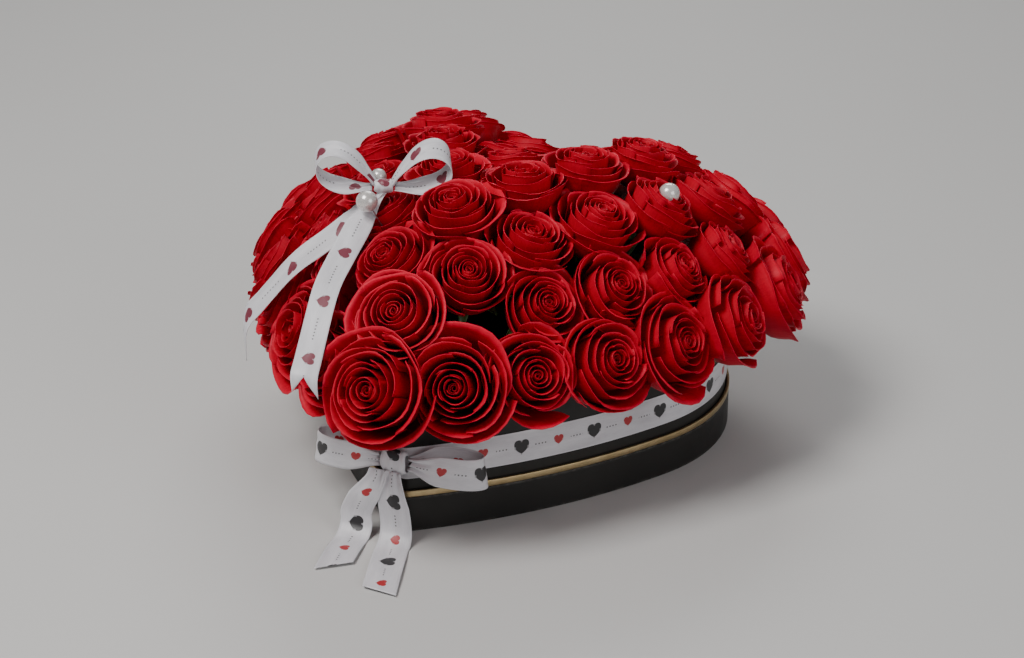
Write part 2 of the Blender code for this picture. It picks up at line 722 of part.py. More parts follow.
def make_top_bow(roses, owner, satin, pearly):
    """The bow stands on the rose nearest to its place, and its two pins go into that rose."""
    rose = roses.nearest(TOP_BOW_PLACE)
    frame = roses.frame(rose, towards=TOP_BOW_RIGHT)
    width, depth, height = TOP_KNOT
    crown = HEAD_CROWN * roses.radii[rose]
    knot_height = crown + TOP_KNOT_ABOVE_ROSE + height / 2
    place = frame @ Vector((TOP_KNOT_ASIDE, 0.0, knot_height))
    right = Vector(TOP_BOW_RIGHT).normalized()
    halfway = Vector(roses.axes[rose]) + Vector((0.0, 0.0, 1.0))
    middle = axis_frame(place, halfway - right * halfway.dot(right), TOP_BOW_RIGHT)
    knot("top_bow_knot", middle, TOP_KNOT, satin)
    for name, turn in (("left", math.pi), ("right", 0.0)):
        away = Matrix.Rotation(turn, 4, "Z") @ Matrix.Translation((width / 2 - 0.001, 0.0, 0.0))
        start = middle @ away @ Matrix.Rotation(-TOP_LOOP_RISE, 4, "Y")
        loop_width = TOP_RIBBON_WIDTH * TOP_LOOP_NARROWING
        bow_loop(f"top_bow_loop_{name}", start, TOP_LOOP_LENGTH, TOP_LOOP_HEIGHT, loop_width, satin)
    start = middle.translation
    make_top_tail("front", start, TOP_FRONT_TAIL_END, TOP_FRONT_TAIL_DROP, satin)
    make_top_tail("left", start, TOP_SIDE_TAIL_END, TOP_SIDE_TAIL_DROP, satin)
    node = owner[rose]
    pins = (("large_pearl_pin", LARGE_PEARL, LARGE_PEARL_ASIDE, -1), ("small_pearl_pin", SMALL_PEARL, SMALL_PEARL_ASIDE, 1))
    for name, pearl, aside, side in pins:
        clear = side * (loop_width / 2 + pearl / 2 + PEARL_TO_LOOP)
        offset = (TOP_KNOT_ASIDE + aside, clear, knot_height + PEARL_ABOVE_KNOT)
        make_pin(name, frame, offset, pearl, node, pearly)


def make_lone_pearl(roses, owner, pearly):
    rose = roses.nearest(LONE_PEARL_PLACE)
    x, y, above = LONE_PEARL_OFFSET
    offset = (x, y, HEAD_CROWN * roses.radii[rose] + above)
    make_pin("lone_pearl_pin", roses.frame(rose), offset, LARGE_PEARL, owner[rose], pearly)


def main():
    clear_scene()
    card = material("black card", (0.014, 0.013, 0.012), 0.6)
    gold = material("gold foil", (0.50, 0.36, 0.16), 0.35, 0.9)
    satin = material("white satin", (0.72, 0.70, 0.74), 0.4)
    liner = material("clear liner", (0.55, 0.58, 0.60), 0.3)
    green = material("wet foam", (0.06, 0.14, 0.06), 0.9)
    petals = material("red petals", (0.45, 0.004, 0.010), 0.5)
    pearly = material("pearl", (0.80, 0.78, 0.74), 0.15)
    make_lid(card, gold)
    make_box(card)
    make_box_ribbon(satin)
    foam = make_filling(liner, green)
    roses = Roses()
    owner = make_roses(roses, petals)
    bore_foam(foam, roses)
    make_top_bow(roses, owner, satin, pearly)
    make_lone_pearl(roses, owner, pearly)


main()
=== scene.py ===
"""Looks of the heart-shaped flower box: smooth card box and lid, satin ribbons, pearls and full red roses."""

import math

import bpy
import numpy as np
from mathutils import Matrix, Vector


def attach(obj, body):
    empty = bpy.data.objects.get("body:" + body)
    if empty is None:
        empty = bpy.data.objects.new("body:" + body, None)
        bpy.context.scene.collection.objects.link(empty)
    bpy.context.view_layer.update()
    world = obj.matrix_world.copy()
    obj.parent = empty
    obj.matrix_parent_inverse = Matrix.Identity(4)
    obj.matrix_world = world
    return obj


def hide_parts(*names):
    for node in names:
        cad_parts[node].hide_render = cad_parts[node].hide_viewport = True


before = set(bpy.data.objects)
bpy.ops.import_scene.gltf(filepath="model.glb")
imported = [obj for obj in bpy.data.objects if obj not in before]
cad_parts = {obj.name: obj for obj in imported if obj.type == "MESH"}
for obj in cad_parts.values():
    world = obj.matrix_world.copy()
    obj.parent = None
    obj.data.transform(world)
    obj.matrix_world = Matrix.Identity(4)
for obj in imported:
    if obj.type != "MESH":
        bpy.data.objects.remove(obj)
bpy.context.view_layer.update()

# ---- the part's own sizes, in metres ----

HEART_WIDTH = 0.325
HEART_LENGTH = 0.3416
SHOULDER_RADIUS = 0.137
SHOULDER_START = math.radians(-29)
SHOULDER_END = math.radians(35)
POINT_RADIUS = 0.010
NOTCH_RADIUS = 0.0015
LID_HEIGHT = 0.033
CARD = 0.002
GOLD_HEIGHT = 0.005
GAP = 0.0003
BOX_HEIGHT = 0.0957
BOX_OUTSIDE = CARD + 0.0008
BOX_INSIDE = BOX_OUTSIDE + CARD
TRAY_OUTSIDE = BOX_INSIDE + 0.0006
TRAY_INSIDE = TRAY_OUTSIDE + 0.0008
FOAM_OUTSIDE = TRAY_INSIDE + 0.0006
BOX_BOTTOM = CARD + GAP
BOX_RIM = BOX_BOTTOM + BOX_HEIGHT
TRAY_BOTTOM = BOX_BOTTOM + CARD + GAP
FOAM_EDGE_BELOW_RIM = 0.006
FOAM_RISE = 0.062
FOAM_RUN = 0.120
ROSE_PITCH = 0.060
ROSE_GRID = 0.050
ROSE_HEAD_DIAMETER = 0.057
ROSE_GAP = 0.0015
ROSE_OVERHANG = 0.036
ROSE_EDGE_ABOVE_RIM = 0.031
ROSE_RISE = 0.100
ROSE_RUN = 0.166
ROSE_EDGE_TILT = math.radians(27)
ROSE_UPRIGHT_DEPTH = 0.100
ROSE_CORE_SCALE = 0.25
EDGE_NODES = 21
INNER_NODES = 18
SETTLE_ROUNDS = 300
SETTLE_JITTER = 0.001
SETTLE_PUSH = 0.4
NEIGHBOUR_REACH = ROSE_PITCH * 1.25
STEM_RADIUS = 0.0024
STEM_GRIP = 0.012
HEAD_CROWN = 0.40
BOX_RIBBON_WIDTH = 0.025
RIBBON_BOTTOM = LID_HEIGHT + 0.009
RIBBON_MIDDLE = RIBBON_BOTTOM + BOX_RIBBON_WIDTH / 2
RIBBON_THICKNESS = 0.0006
BOX_KNOT = (0.020, 0.012, 0.022)
BOX_KNOT_PLACE = (-0.003, 0.004)
BOX_LOOP_LENGTH = 0.058
BOX_LOOP_DEPTH = 0.020
TOP_BOW_PLACE = (-0.062, -0.070)
TOP_BOW_RIGHT = (0.914, 0.404, 0.0)
TOP_RIBBON_WIDTH = 0.020
TOP_KNOT = (0.014, 0.012, 0.012)
TOP_KNOT_ABOVE_ROSE = 0.009
TOP_KNOT_ASIDE = 0.008
LOOP_IN_KNOT = 0.001
TOP_LOOP_LENGTH = 0.048
TOP_LOOP_HEIGHT = 0.028
TOP_LOOP_RISE = math.radians(29)
TOP_TAIL_LIFT = 0.0185
TOP_TAIL_EDGE_LIFT = 0.009
LARGE_PEARL = 0.016
SMALL_PEARL = 0.012
LONE_PEARL_PLACE = (0.123, 0.047)
PIN_RADIUS = 0.0006
PIN_LENGTH = 0.030


# ---- the heart, as the part draws it ----


def heart_arcs():
    shoulder_x = HEART_WIDTH / 2 - SHOULDER_RADIUS
    turn = math.cos(SHOULDER_END)
    lobe_radius = (shoulder_x + SHOULDER_RADIUS * turn - NOTCH_RADIUS) / (1 + turn)
    step = SHOULDER_RADIUS - lobe_radius
    lobe_y = HEART_LENGTH / 2 - lobe_radius
    shoulder = np.array([shoulder_x, lobe_y - step * math.sin(SHOULDER_END)])
    lobe = np.array([shoulder_x + step * turn, lobe_y])
    point = np.array([0.0, -HEART_LENGTH / 2])
    towards = np.array([math.cos(SHOULDER_START), math.sin(SHOULDER_START)])
    reach = shoulder - point
    back = (reach @ reach - SHOULDER_RADIUS**2) / (2 * (reach @ towards + SHOULDER_RADIUS))
    side = shoulder - back * towards
    side_radius = back + SHOULDER_RADIUS
    round_y = side[1] - math.sqrt((side_radius - POINT_RADIUS) ** 2 - side[0] ** 2)
    return {
        "point": ((0.0, round_y), POINT_RADIUS),
        "side": (tuple(side), side_radius),
        "shoulder": (tuple(shoulder), SHOULDER_RADIUS),
        "lobe": (tuple(lobe), lobe_radius),
        "notch": ((0.0, lobe[1]), -NOTCH_RADIUS),
        "side start": math.atan2(round_y - side[1], -side[0]),
    }


ARCS = heart_arcs()
ARC_STEPS = {"point": 3, "side": 5, "shoulder": 4, "lobe": 9, "notch": 2}
FINE = {"point": 10, "side": 34, "shoulder": 26, "lobe": 40, "notch": 6}


def arc(name, inset, start, end, steps):
    (x, y), radius = ARCS[name]
    radius = abs(radius - inset)
    steps = steps if isinstance(steps, int) else steps[name]
    turns = (start + (end - start) * i / steps for i in range(steps + 1))
    return [(x + radius * math.cos(turn), y + radius * math.sin(turn)) for turn in turns]


def mirrored(half):
    return half + [(-x, y) for x, y in half[-2:0:-1]]


def half_to_lobe(inset, lobe_end, steps):
    half = arc("point", inset, -math.pi / 2, ARCS["side start"], steps)
    half += arc("side", inset, ARCS["side start"], SHOULDER_START, steps)[1:]
    half += arc("shoulder", inset, SHOULDER_START, SHOULDER_END, steps)[1:]
    return half + arc("lobe", inset, SHOULDER_END, lobe_end, steps)[1:]


def heart(inset, steps=FINE):
    half = half_to_lobe(inset, math.pi, steps)
    return mirrored(half + arc("notch", inset, 0.0, -math.pi / 2, steps)[1:])


def taut_heart(inset, steps=FINE):
    half = half_to_lobe(inset, math.pi / 2, steps)
    last = half[-1]
    half += [(last[0] * (1 - i / 8), last[1]) for i in range(1, 9)]
    return mirrored(half)


def heart_centre_y():
    return (ARCS["lobe"][0][1] - HEART_LENGTH / 2) / 2


def scaled(outline, scale):
    middle = heart_centre_y()
    return [(x * scale, middle + (y - middle) * scale) for x, y in outline]


def measure(places, outline):
    """The depth of each place inside an outline, negative outside, and the unit vector that leads out."""
    start = np.array(outline)
    run = np.roll(start, -1, axis=0) - start
    offset = places[:, None] - start[None]
    along = np.clip((offset * run).sum(2) / (run**2).sum(1), 0, 1)
    away = offset - along[..., None] * run
    distance = np.sqrt((away**2).sum(2))
    nearest = distance.argmin(1)
    rows = np.arange(len(places))
    depth = distance[rows, nearest]
    direction = away[rows, nearest] / np.maximum(depth, 1e-9)[:, None]
    x, y = places[:, :1], places[:, 1:]
    end = start + run
    crossed = (start[:, 1] > y) != (end[:, 1] > y)
    rise = np.where(np.abs(run[:, 1]) < 1e-12, 1e-12, run[:, 1])
    crossed &= x < run[:, 0] * (y - start[:, 1]) / rise + start[:, 0]
    inside = crossed.sum(1) % 2 == 1
    sign = np.where(inside, 1.0, -1.0)
    return depth * sign, direction * -sign[:, None]


LID_OUTLINE = heart(0.0, ARC_STEPS)
CORE_OUTLINE = scaled(LID_OUTLINE, ROSE_CORE_SCALE)


def foam_height(depth):
    part = np.clip(depth / FOAM_RUN, 0, 1)
    return BOX_RIM - FOAM_EDGE_BELOW_RIM + FOAM_RISE * (1 - (1 - part) ** 2)


def rose_height(depth):
    part = np.clip((depth + ROSE_OVERHANG) / ROSE_RUN, 0, 1)
    return BOX_RIM + ROSE_EDGE_ABOVE_RIM + ROSE_RISE * (1 - (1 - part) ** 2)


def rose_axes(places):
    depth, _ = measure(places, LID_OUTLINE)
    core, out = measure(places, CORE_OUTLINE)
    part = (depth + ROSE_OVERHANG) / (ROSE_UPRIGHT_DEPTH + ROSE_OVERHANG)
    tilt = ROSE_EDGE_TILT + (math.pi / 2 - ROSE_EDGE_TILT) * np.clip(part, 0, 1)
    tilt = np.where(core > 0, math.pi / 2, tilt)
    return np.column_stack([out * np.cos(tilt)[:, None], np.sin(tilt)])


def on_dome(places):
    depth, _ = measure(places, LID_OUTLINE)
    return np.column_stack([places, rose_height(depth)])


def edge_places():
    reach = ARCS["lobe"][1] + ROSE_OVERHANG
    valley = math.pi - math.acos(min(1.0, ARCS["lobe"][0][0] / reach))
    half = half_to_lobe(-ROSE_OVERHANG, valley, 40)
    loop = np.array(half + [(-x, y) for x, y in half[::-1]])
    length = np.append(0, np.cumsum(np.linalg.norm(np.diff(loop, axis=0), axis=1)))
    count = int(length[-1] / ROSE_PITCH)
    along = np.arange(count) * length[-1] / count
    return np.column_stack([np.interp(along, length, loop[:, 0]), np.interp(along, length, loop[:, 1])])


def inner_places():
    row_step = ROSE_GRID * math.sqrt(3) / 2
    rows = int(HEART_LENGTH / row_step) + 1
    half_row = int(HEART_WIDTH / ROSE_GRID / 2) + 1
    places = []
    for row in range(rows):
        y = -HEART_LENGTH / 2 + ROSE_GRID / 2 + row * row_step
        shift = 0.5 if row % 2 else 0.0
        line = [((i + shift) * ROSE_GRID, y) for i in range(-half_row, half_row + 1)]
        places += line if row % 2 else line[::-1]
    places = np.array(places)
    depth, _ = measure(places, LID_OUTLINE)
    return places[depth > -0.002]


def settle(edge, inner):
    places = np.vstack([edge, inner])
    on_edge = np.arange(len(places)) < len(edge)
    places = places + np.random.default_rng(1).normal(0, SETTLE_JITTER, places.shape)
    others = 1 - np.eye(len(places))
    notch_y = ARCS["lobe"][0][1] - 0.005
    inner_edge = -0.004
    for _ in range(SETTLE_ROUNDS):
        heads = on_dome(places)
        apart = heads[:, None] - heads[None]
        distance = np.sqrt((apart**2).sum(2)) + np.eye(len(places))
        push = np.clip(ROSE_PITCH - distance, 0, None) * others
        places = places + SETTLE_PUSH * (apart / distance[..., None] * push[..., None]).sum(1)[:, :2]
        depth, out = measure(places, LID_OUTLINE)
        places[on_edge] += (out * (depth + ROSE_OVERHANG)[:, None])[on_edge]
        spilt = ~on_edge & (depth < inner_edge)
        places[spilt] += (out * (depth - inner_edge)[:, None])[spilt]
        over_notch = (places[:, 1] > notch_y) & (np.abs(places[:, 0]) < ROSE_PITCH / 2)
        sign = np.where(places[:, 0] < 0, -1.0, 1.0)
        places[over_notch, 0] = (sign * ROSE_PITCH / 2)[over_notch]
    return places


def stem_length(head, axis):
    runs = np.arange(0.020, 0.200, 0.001)
    line = head - axis * runs[:, None]
    depth, _ = measure(line[:, :2], LID_OUTLINE)
    in_foam = (line[:, 2] < foam_height(depth)) & (depth > FOAM_OUTSIDE)
    return runs[in_foam.argmax()] + STEM_GRIP


def join_neighbours(heads, members, most):
    """The part's own grouping of the roses into nodes: neighbours joined, smallest groups first."""
    groups = [[i] for i in members]
    while len(groups) > most:
        choices = []
        for a, first in enumerate(groups):
            for b, second in enumerate(groups[:a]):
                apart = min(np.linalg.norm(heads[i] - heads[j]) for i in first for j in second)
                if apart < NEIGHBOUR_REACH:
                    choices.append((len(first) + len(second), apart, a, b))
        _, _, a, b = min(choices)
        joined = groups.pop(a)
        groups[b] = groups[b] + joined
    return groups


def axis_frame(place, axis, towards=(1.0, 0.0, 0.0)):
    z = Vector(axis).normalized()
    x = Vector(towards)
    x = (x - z * x.dot(z)).normalized()
    y = z.cross(x)
    return Matrix.Translation(Vector(place)) @ Matrix((x, y, z)).transposed().to_4x4()


EDGE = edge_places()
PLACES = settle(EDGE, inner_places())
HEADS = on_dome(PLACES)
AXES = rose_axes(PLACES)
SPACING = np.sqrt(((HEADS[:, None] - HEADS[None]) ** 2).sum(2)) + np.eye(len(HEADS))
RADII = np.minimum(ROSE_HEAD_DIAMETER, SPACING.min(1) - ROSE_GAP) / 2


def nearest_rose(place):
    return int(((HEADS[:, :2] - np.array(place)) ** 2).sum(1).argmin())


# ---- materials ----


NOISE_RANGE = 0.3, 0.7  # most of what a noise texture gives lies between these
BLANK = 0.0, 0.0, 0.0  # stands in for a colour that nodes give further on


class Tree:
    """A new node material, with short names for what the materials here need."""

    def __init__(self, name, colour, roughness, **sockets):
        self.material = bpy.data.materials.new(name)
        self.material.use_nodes = True
        self.tree = self.material.node_tree
        self.shader = self.tree.nodes["Principled BSDF"]
        self.put("Base Color", (*colour, 1.0) if isinstance(colour, tuple) else colour)
        self.put("Roughness", roughness)
        for socket, value in sockets.items():
            self.put(socket.replace("_", " "), value)

    def put(self, socket, value):
        self.feed(self.shader.inputs[socket], value)

    def feed(self, socket, value):
        if isinstance(value, bpy.types.NodeSocket):
            self.tree.links.new(value, socket)
        else:
            socket.default_value = value

    def node(self, kind, **settings):
        made = self.tree.nodes.new(kind)
        for key, value in settings.items():
            setattr(made, key, value)
        return made

    def math(self, operation, *values, clamp=False):
        made = self.node("ShaderNodeMath", operation=operation, use_clamp=clamp)
        for socket, value in zip(made.inputs, values):
            self.feed(socket, value)
        return made.outputs[0]

    def place(self):
        return self.node("ShaderNodeTexCoord").outputs["Object"]

    def attribute(self, name):
        made = self.node("ShaderNodeAttribute", attribute_name=name)
        split = self.node("ShaderNodeSeparateXYZ")
        self.tree.links.new(made.outputs["Vector"], split.inputs[0])
        return made.outputs["Vector"], split.outputs

    def stretched(self, vector, scale):
        made = self.node("ShaderNodeMapping")
        self.tree.links.new(vector, made.inputs["Vector"])
        made.inputs["Scale"].default_value = scale
        return made.outputs[0]

    def noise(self, vector, scale, detail=3.0, roughness=0.55):
        made = self.node("ShaderNodeTexNoise")
        self.tree.links.new(vector, made.inputs["Vector"])
        made.inputs["Scale"].default_value = scale
        made.inputs["Detail"].default_value = detail
        made.inputs["Roughness"].default_value = roughness
        return made.outputs["Fac"]

    def span(self, value, low, high, to_low=0.0, to_high=1.0):
        made = self.node("ShaderNodeMapRange")
        self.feed(made.inputs["Value"], value)
        ends = {"From Min": low, "From Max": high, "To Min": to_low, "To Max": to_high}
        for socket, number in ends.items():
            made.inputs[socket].default_value = number
        return made.outputs[0]

    def mix(self, factor, first, second):
        made = self.node("ShaderNodeMix", data_type="RGBA")
        self.feed(made.inputs["Factor"], factor)
        for socket, value in ((made.inputs[6], first), (made.inputs[7], second)):
            self.feed(socket, (*value, 1.0) if isinstance(value, tuple) else value)
        return made.outputs[2]

    def shade(self, noise, dark, light):
        return self.mix(self.span(noise, *NOISE_RANGE), dark, light)

    def roughness(self, noise, low, high):
        self.put("Roughness", self.span(noise, *NOISE_RANGE, low, high))

    def bump(self, height, strength, distance):
        made = self.node("ShaderNodeBump")
        self.feed(made.inputs["Height"], height)
        made.inputs["Strength"].default_value = strength
        made.inputs["Distance"].default_value = distance
        self.put("Normal", made.outputs[0])


def card_material():
    t = Tree("black card", BLANK, 0.5, Specular_IOR_Level=0.35)
    place = t.place()
    cloud = t.noise(place, 14.0, 4.0)
    grain = t.noise(place, 900.0, 3.0, 0.7)
    edge = t.attribute("worn")[1][0]
    wear = t.math("MULTIPLY", edge, t.span(t.noise(place, 160.0, 4.0, 0.7), 0.42, 0.62), clamp=True)
    body = t.shade(cloud, (0.0105, 0.0095, 0.0085), (0.019, 0.0175, 0.0155))
    t.put("Base Color", t.mix(t.math("MULTIPLY", wear, 0.55), body, (0.14, 0.13, 0.115)))
    t.roughness(t.noise(place, 45.0, 5.0, 0.65), 0.40, 0.56)
    t.bump(grain, 0.16, 0.0004)
    return t.material


def gold_material():
    t = Tree("gold foil", BLANK, 0.35, Metallic=1.0)
    place = t.place()
    streak = t.noise(t.stretched(place, (60.0, 60.0, 1400.0)), 1.0, 3.0)
    patch = t.noise(place, 35.0, 4.0, 0.65)
    t.put("Base Color", t.shade(patch, (0.42, 0.31, 0.155), (0.62, 0.485, 0.27)))
    t.roughness(streak, 0.28, 0.50)
    t.bump(t.math("ADD", streak, t.noise(place, 260.0, 3.0)), 0.20, 0.0004)
    return t.material


def from_nearest(t, along, every, shift):
    """How far along a ribbon a place is from the middle of the mark that it belongs to."""
    return t.math("SUBTRACT", t.math("FLOORED_MODULO", t.math("ADD", along, shift), every), every / 2)


def heart_mask(t, along, across, every, size, shift):
    """1 inside small hearts printed every so many metres along a ribbon, their tops to one side."""
    x = t.math("DIVIDE", from_nearest(t, along, every, shift), size)
    y = t.math("ADD", t.math("DIVIDE", across, size), 0.12)
    squares = t.math("ADD", t.math("MULTIPLY", x, x), t.math("MULTIPLY", y, y))
    inner = t.math("POWER", t.math("SUBTRACT", squares, 1.0), 3.0)
    cube = t.math("MULTIPLY", t.math("MULTIPLY", y, y), y)
    edge = t.math("SUBTRACT", inner, t.math("MULTIPLY", t.math("MULTIPLY", x, x), cube))
    return t.span(edge, 0.02, -0.02)


def dot_mask(t, along, across, every, size, row, shift, group, kept):
    """1 inside small dots in a row along a ribbon, only over the kept (shift, length) of each group."""
    x = from_nearest(t, along, every, shift)
    y = t.math("SUBTRACT", across, row)
    away = t.math("SQRT", t.math("ADD", t.math("MULTIPLY", x, x), t.math("MULTIPLY", y, y)))
    dots = t.span(away, size * 1.15, size * 0.85)
    turn = t.math("FLOORED_MODULO", t.math("ADD", along, shift + kept[0]), group)
    return t.math("MULTIPLY", dots, t.math("LESS_THAN", turn, kept[1]))


# The satin's tones: in painted shade, in painted light, and a painted sheen highlight.
SATIN_WITH_PAINTED_LIGHT = (0.56, 0.545, 0.575), (0.72, 0.705, 0.735), (0.86, 0.845, 0.875)
THREAD_PITCH = 0.0006


def satin_material(name, hearts, dots, selvedge, light=1.0):
    """Woven satin with a fine sheen along it, from the shader and from painted highlight streaks, broad
    painted patches of light and shade, firmer selvedges painted paler in the sheen colour, and small printed
    hearts and dots.
    """
    t = Tree(name, BLANK, 0.4, Sheen_Weight=0.06, Sheen_Roughness=0.35, Specular_IOR_Level=0.5)
    vector, (along, across, _) = t.attribute("ribbon")
    silk_and_painted_sheen = t.noise(t.stretched(vector, (180.0, 2600.0, 1.0)), 1.0, 3.0, 0.6)
    painted_reflection_patches = t.noise(t.stretched(vector, (24.0, 120.0, 1.0)), 1.0, 3.0, 0.5)
    weft = t.math("SINE", t.math("MULTIPLY", along, 2 * math.pi / THREAD_PITCH))
    # Painted light: the satin in painted shade, in painted light, and the painted sheen colour.
    painted_dim, painted_lit, painted_sheen = (tuple(light * c for c in tone) for tone in SATIN_WITH_PAINTED_LIGHT)
    # Broad patches of painted reflection, darker and lighter along the ribbon.
    body = t.shade(painted_reflection_patches, painted_dim, painted_lit)
    # Painted highlight: streaks of sheen along the silk.
    body = t.mix(t.span(silk_and_painted_sheen, 0.35, 0.70, 0.0, 0.35), body, painted_sheen)
    firm = t.span(t.math("ABSOLUTE", across), selvedge - 0.0012, selvedge - 0.0009)
    # The selvedges are a real woven edge, painted paler with the painted sheen colour.
    body = t.mix(t.math("MULTIPLY", firm, 0.5), body, painted_sheen)
    for (every, size, shift), ink in hearts:
        mask = heart_mask(t, along, across, every, size, shift)
        body = t.mix(t.math("MULTIPLY", mask, 0.97), body, ink)
    for settings, ink in dots:
        body = t.mix(t.math("MULTIPLY", dot_mask(t, along, across, *settings), 0.88), body, ink)
    t.put("Base Color", body)
    t.roughness(silk_and_painted_sheen, 0.30, 0.46)
    height = t.math("ADD", t.math("MULTIPLY", weft, 0.16), silk_and_painted_sheen)
    height = t.math("ADD", height, t.math("MULTIPLY", firm, 0.8))
    t.bump(height, 0.35, 0.00022)
    return t.material


def petal_material():
    """Velvety crimson, with painted shade that makes it near black deep inside and on the inner petals,
    painted light towards the rims, a thin painted highlight along each rim, and fine veins that run up each
    petal.
    """
    t = Tree("red rose petals", BLANK, 0.5, Specular_IOR_Level=0.22)
    t.put("Sheen Weight", 0.12)
    t.put("Sheen Roughness", 0.40)
    t.put("Sheen Tint", (1.0, 0.06, 0.10, 1.0))
    # The second petal mark, up, is painted light: low deep inside the rose and on its inner petals, high
    # towards the rims.
    vector, (across, up, chance) = t.attribute("petal")
    rose = t.attribute("rose")[1][0]
    veins = t.noise(t.stretched(vector, (16.0, 2.6, 37.0)), 1.0, 3.0, 0.6)
    cloud = t.noise(t.place(), 42.0, 3.0)
    # low is painted shade deep inside, mid the petals' own crimson, high painted light towards the rims.
    low, mid, high = (0.030, 0.0002, 0.0014), (0.60, 0.0006, 0.0230), (0.78, 0.0010, 0.0380)
    body = t.mix(t.span(up, 0.20, 0.58), low, mid)
    body = t.mix(t.span(up, 0.62, 0.97), body, high)
    body = t.mix(t.span(veins, 0.35, 0.75, 0.0, 0.45), body, (0.36, 0.0004, 0.0100))
    body = t.mix(t.span(cloud, 0.45, 0.75, 0.0, 0.35), body, (0.76, 0.0020, 0.0330))
    body = t.mix(t.span(chance, 0.0, 1.0, 0.0, 0.28), body, (0.34, 0.0004, 0.0100))
    body = t.mix(t.span(rose, 0.0, 1.0, 0.0, 0.25), body, (0.40, 0.0004, 0.0110))
    # Painted highlight: a thin paler line along each rim.
    body = t.mix(t.span(up, 0.965, 1.0, 0.0, 0.15), body, (0.74, 0.018, 0.060))
    t.put("Base Color", body)
    t.roughness(veins, 0.42, 0.58)
    velvet = t.math("MULTIPLY", t.noise(t.place(), 1500.0, 2.0), 0.35)
    t.bump(t.math("ADD", veins, velvet), 0.30, 0.0005)
    return t.material


def green_material():
    t = Tree("rose green", BLANK, 0.5, Specular_IOR_Level=0.4)
    place = t.place()
    cloud = t.noise(place, 90.0, 4.0)
    t.put("Base Color", t.shade(cloud, (0.030, 0.075, 0.016), (0.085, 0.165, 0.040)))
    t.roughness(cloud, 0.42, 0.62)
    t.bump(t.noise(place, 700.0, 3.0), 0.3, 0.0004)
    return t.material


def foam_material():
    t = Tree("floral foam in painted shade", BLANK, 0.9, Specular_IOR_Level=0.25)
    place = t.place()
    pores = t.noise(place, 1100.0, 4.0, 0.75)
    cloud = t.noise(place, 30.0, 4.0)
    # Painted shade: the foam is near black so the gaps between the roses read as shade, and its pores are
    # painted darker still.
    body = t.shade(cloud, (0.006, 0.016, 0.007), (0.012, 0.028, 0.012))
    t.put("Base Color", t.mix(t.span(pores, 0.35, 0.55), (0.003, 0.008, 0.003), body))
    t.roughness(pores, 0.75, 0.95)
    t.bump(pores, 0.7, 0.0010)
    return t.material


def liner_material():
    t = Tree("clear grey liner", BLANK, 0.3, Coat_Weight=0.15)
    place = t.place()
    cloud = t.noise(place, 20.0, 4.0)
    t.put("Base Color", t.shade(cloud, (0.045, 0.048, 0.050), (0.080, 0.084, 0.088)))
    t.roughness(t.noise(place, 90.0, 4.0), 0.22, 0.38)
    t.bump(t.noise(t.stretched(place, (40.0, 40.0, 160.0)), 1.0, 3.0), 0.25, 0.0010)
    return t.material


def pearl_material():
    t = Tree("pearl", BLANK, 0.2, Coat_Weight=0.8, Coat_Roughness=0.06, Sheen_Weight=0.2)
    t.put("Coat IOR", 1.6)
    place = t.place()
    cloud = t.noise(place, 110.0, 3.0)
    t.put("Base Color", t.shade(cloud, (0.60, 0.56, 0.53), (0.78, 0.755, 0.72)))
    t.roughness(t.noise(place, 420.0, 3.0), 0.20, 0.32)
    t.put("Metallic", 0.35)
    t.bump(t.noise(place, 900.0, 2.0), 0.05, 0.0002)
    return t.material


def wire_material():
    t = Tree("steel wire", BLANK, 0.3, Metallic=1.0)
    cloud = t.noise(t.place(), 500.0, 3.0)
    t.put("Base Color", t.mix(cloud, (0.45, 0.45, 0.46), (0.62, 0.62, 0.63)))
    t.roughness(cloud, 0.22, 0.40)
    return t.material


# ---- meshes ----


def make(name, points, faces, materials, attributes=None, indices=None, sharp=None):
    """A smooth object from points and faces. Attributes are vectors for each point, by name."""
    mesh = bpy.data.meshes.new(name)
    mesh.from_pydata(np.asarray(points, float).tolist(), [], [tuple(map(int, face)) for face in faces])
    for key, values in (attributes or {}).items():
        layer = mesh.attributes.new(key, "FLOAT_VECTOR", "POINT")
        layer.data.foreach_set("vector", np.asarray(values, np.float32).ravel())
    for made in materials:
        mesh.materials.append(made)
    if indices is not None:
        mesh.polygons.foreach_set("material_index", np.asarray(indices, np.int32))
    mesh.shade_smooth()
    if sharp:
        mesh.set_sharp_from_angle(angle=math.radians(sharp))
    mesh.update()
    obj = bpy.data.objects.new(name, mesh)
    bpy.context.scene.collection.objects.link(obj)
    return obj


def grid_faces(rows, columns):
    """Quads of a grid of points stored row by row."""
    a = (np.arange(rows - 1)[:, None] * columns + np.arange(columns - 1)[None]).ravel()
    return np.column_stack([a, a + columns, a + columns + 1, a + 1])


def shell_faces(rows, columns):
    """The quads of a closed thin shell: a front grid, a back grid after it, and the rim between them."""
    front = grid_faces(rows, columns)
    count = rows * columns
    back = front[:, ::-1] + count
    index = np.arange(count).reshape(rows, columns)
    loop = np.concatenate([index[:, 0], index[-1, 1:], index[-2::-1, -1], index[0, -2:0:-1]])
    following = np.roll(loop, -1)
    rim = np.column_stack([following, loop, loop + count, following + count])
    return np.vstack([front, back, rim])


def normals_of(grid):
    """Unit normals of grids of points, shaped (..., rows, columns, 3)."""
    down = np.gradient(grid, axis=-3)
    right = np.gradient(grid, axis=-2)
    normal = np.cross(down, right)
    return normal / np.maximum(np.linalg.norm(normal, axis=-1, keepdims=True), 1e-12)


def ring_faces(rings, count, close=False):
    """The quads between rings of count points each, and from the last ring to the first if it closes."""
    faces = []
    for k in range(rings if close else rings - 1):
        a, b = k * count, (k + 1) % rings * count
        faces += [(a + i, a + (i + 1) % count, b + (i + 1) % count, b + i) for i in range(count)]
    return faces


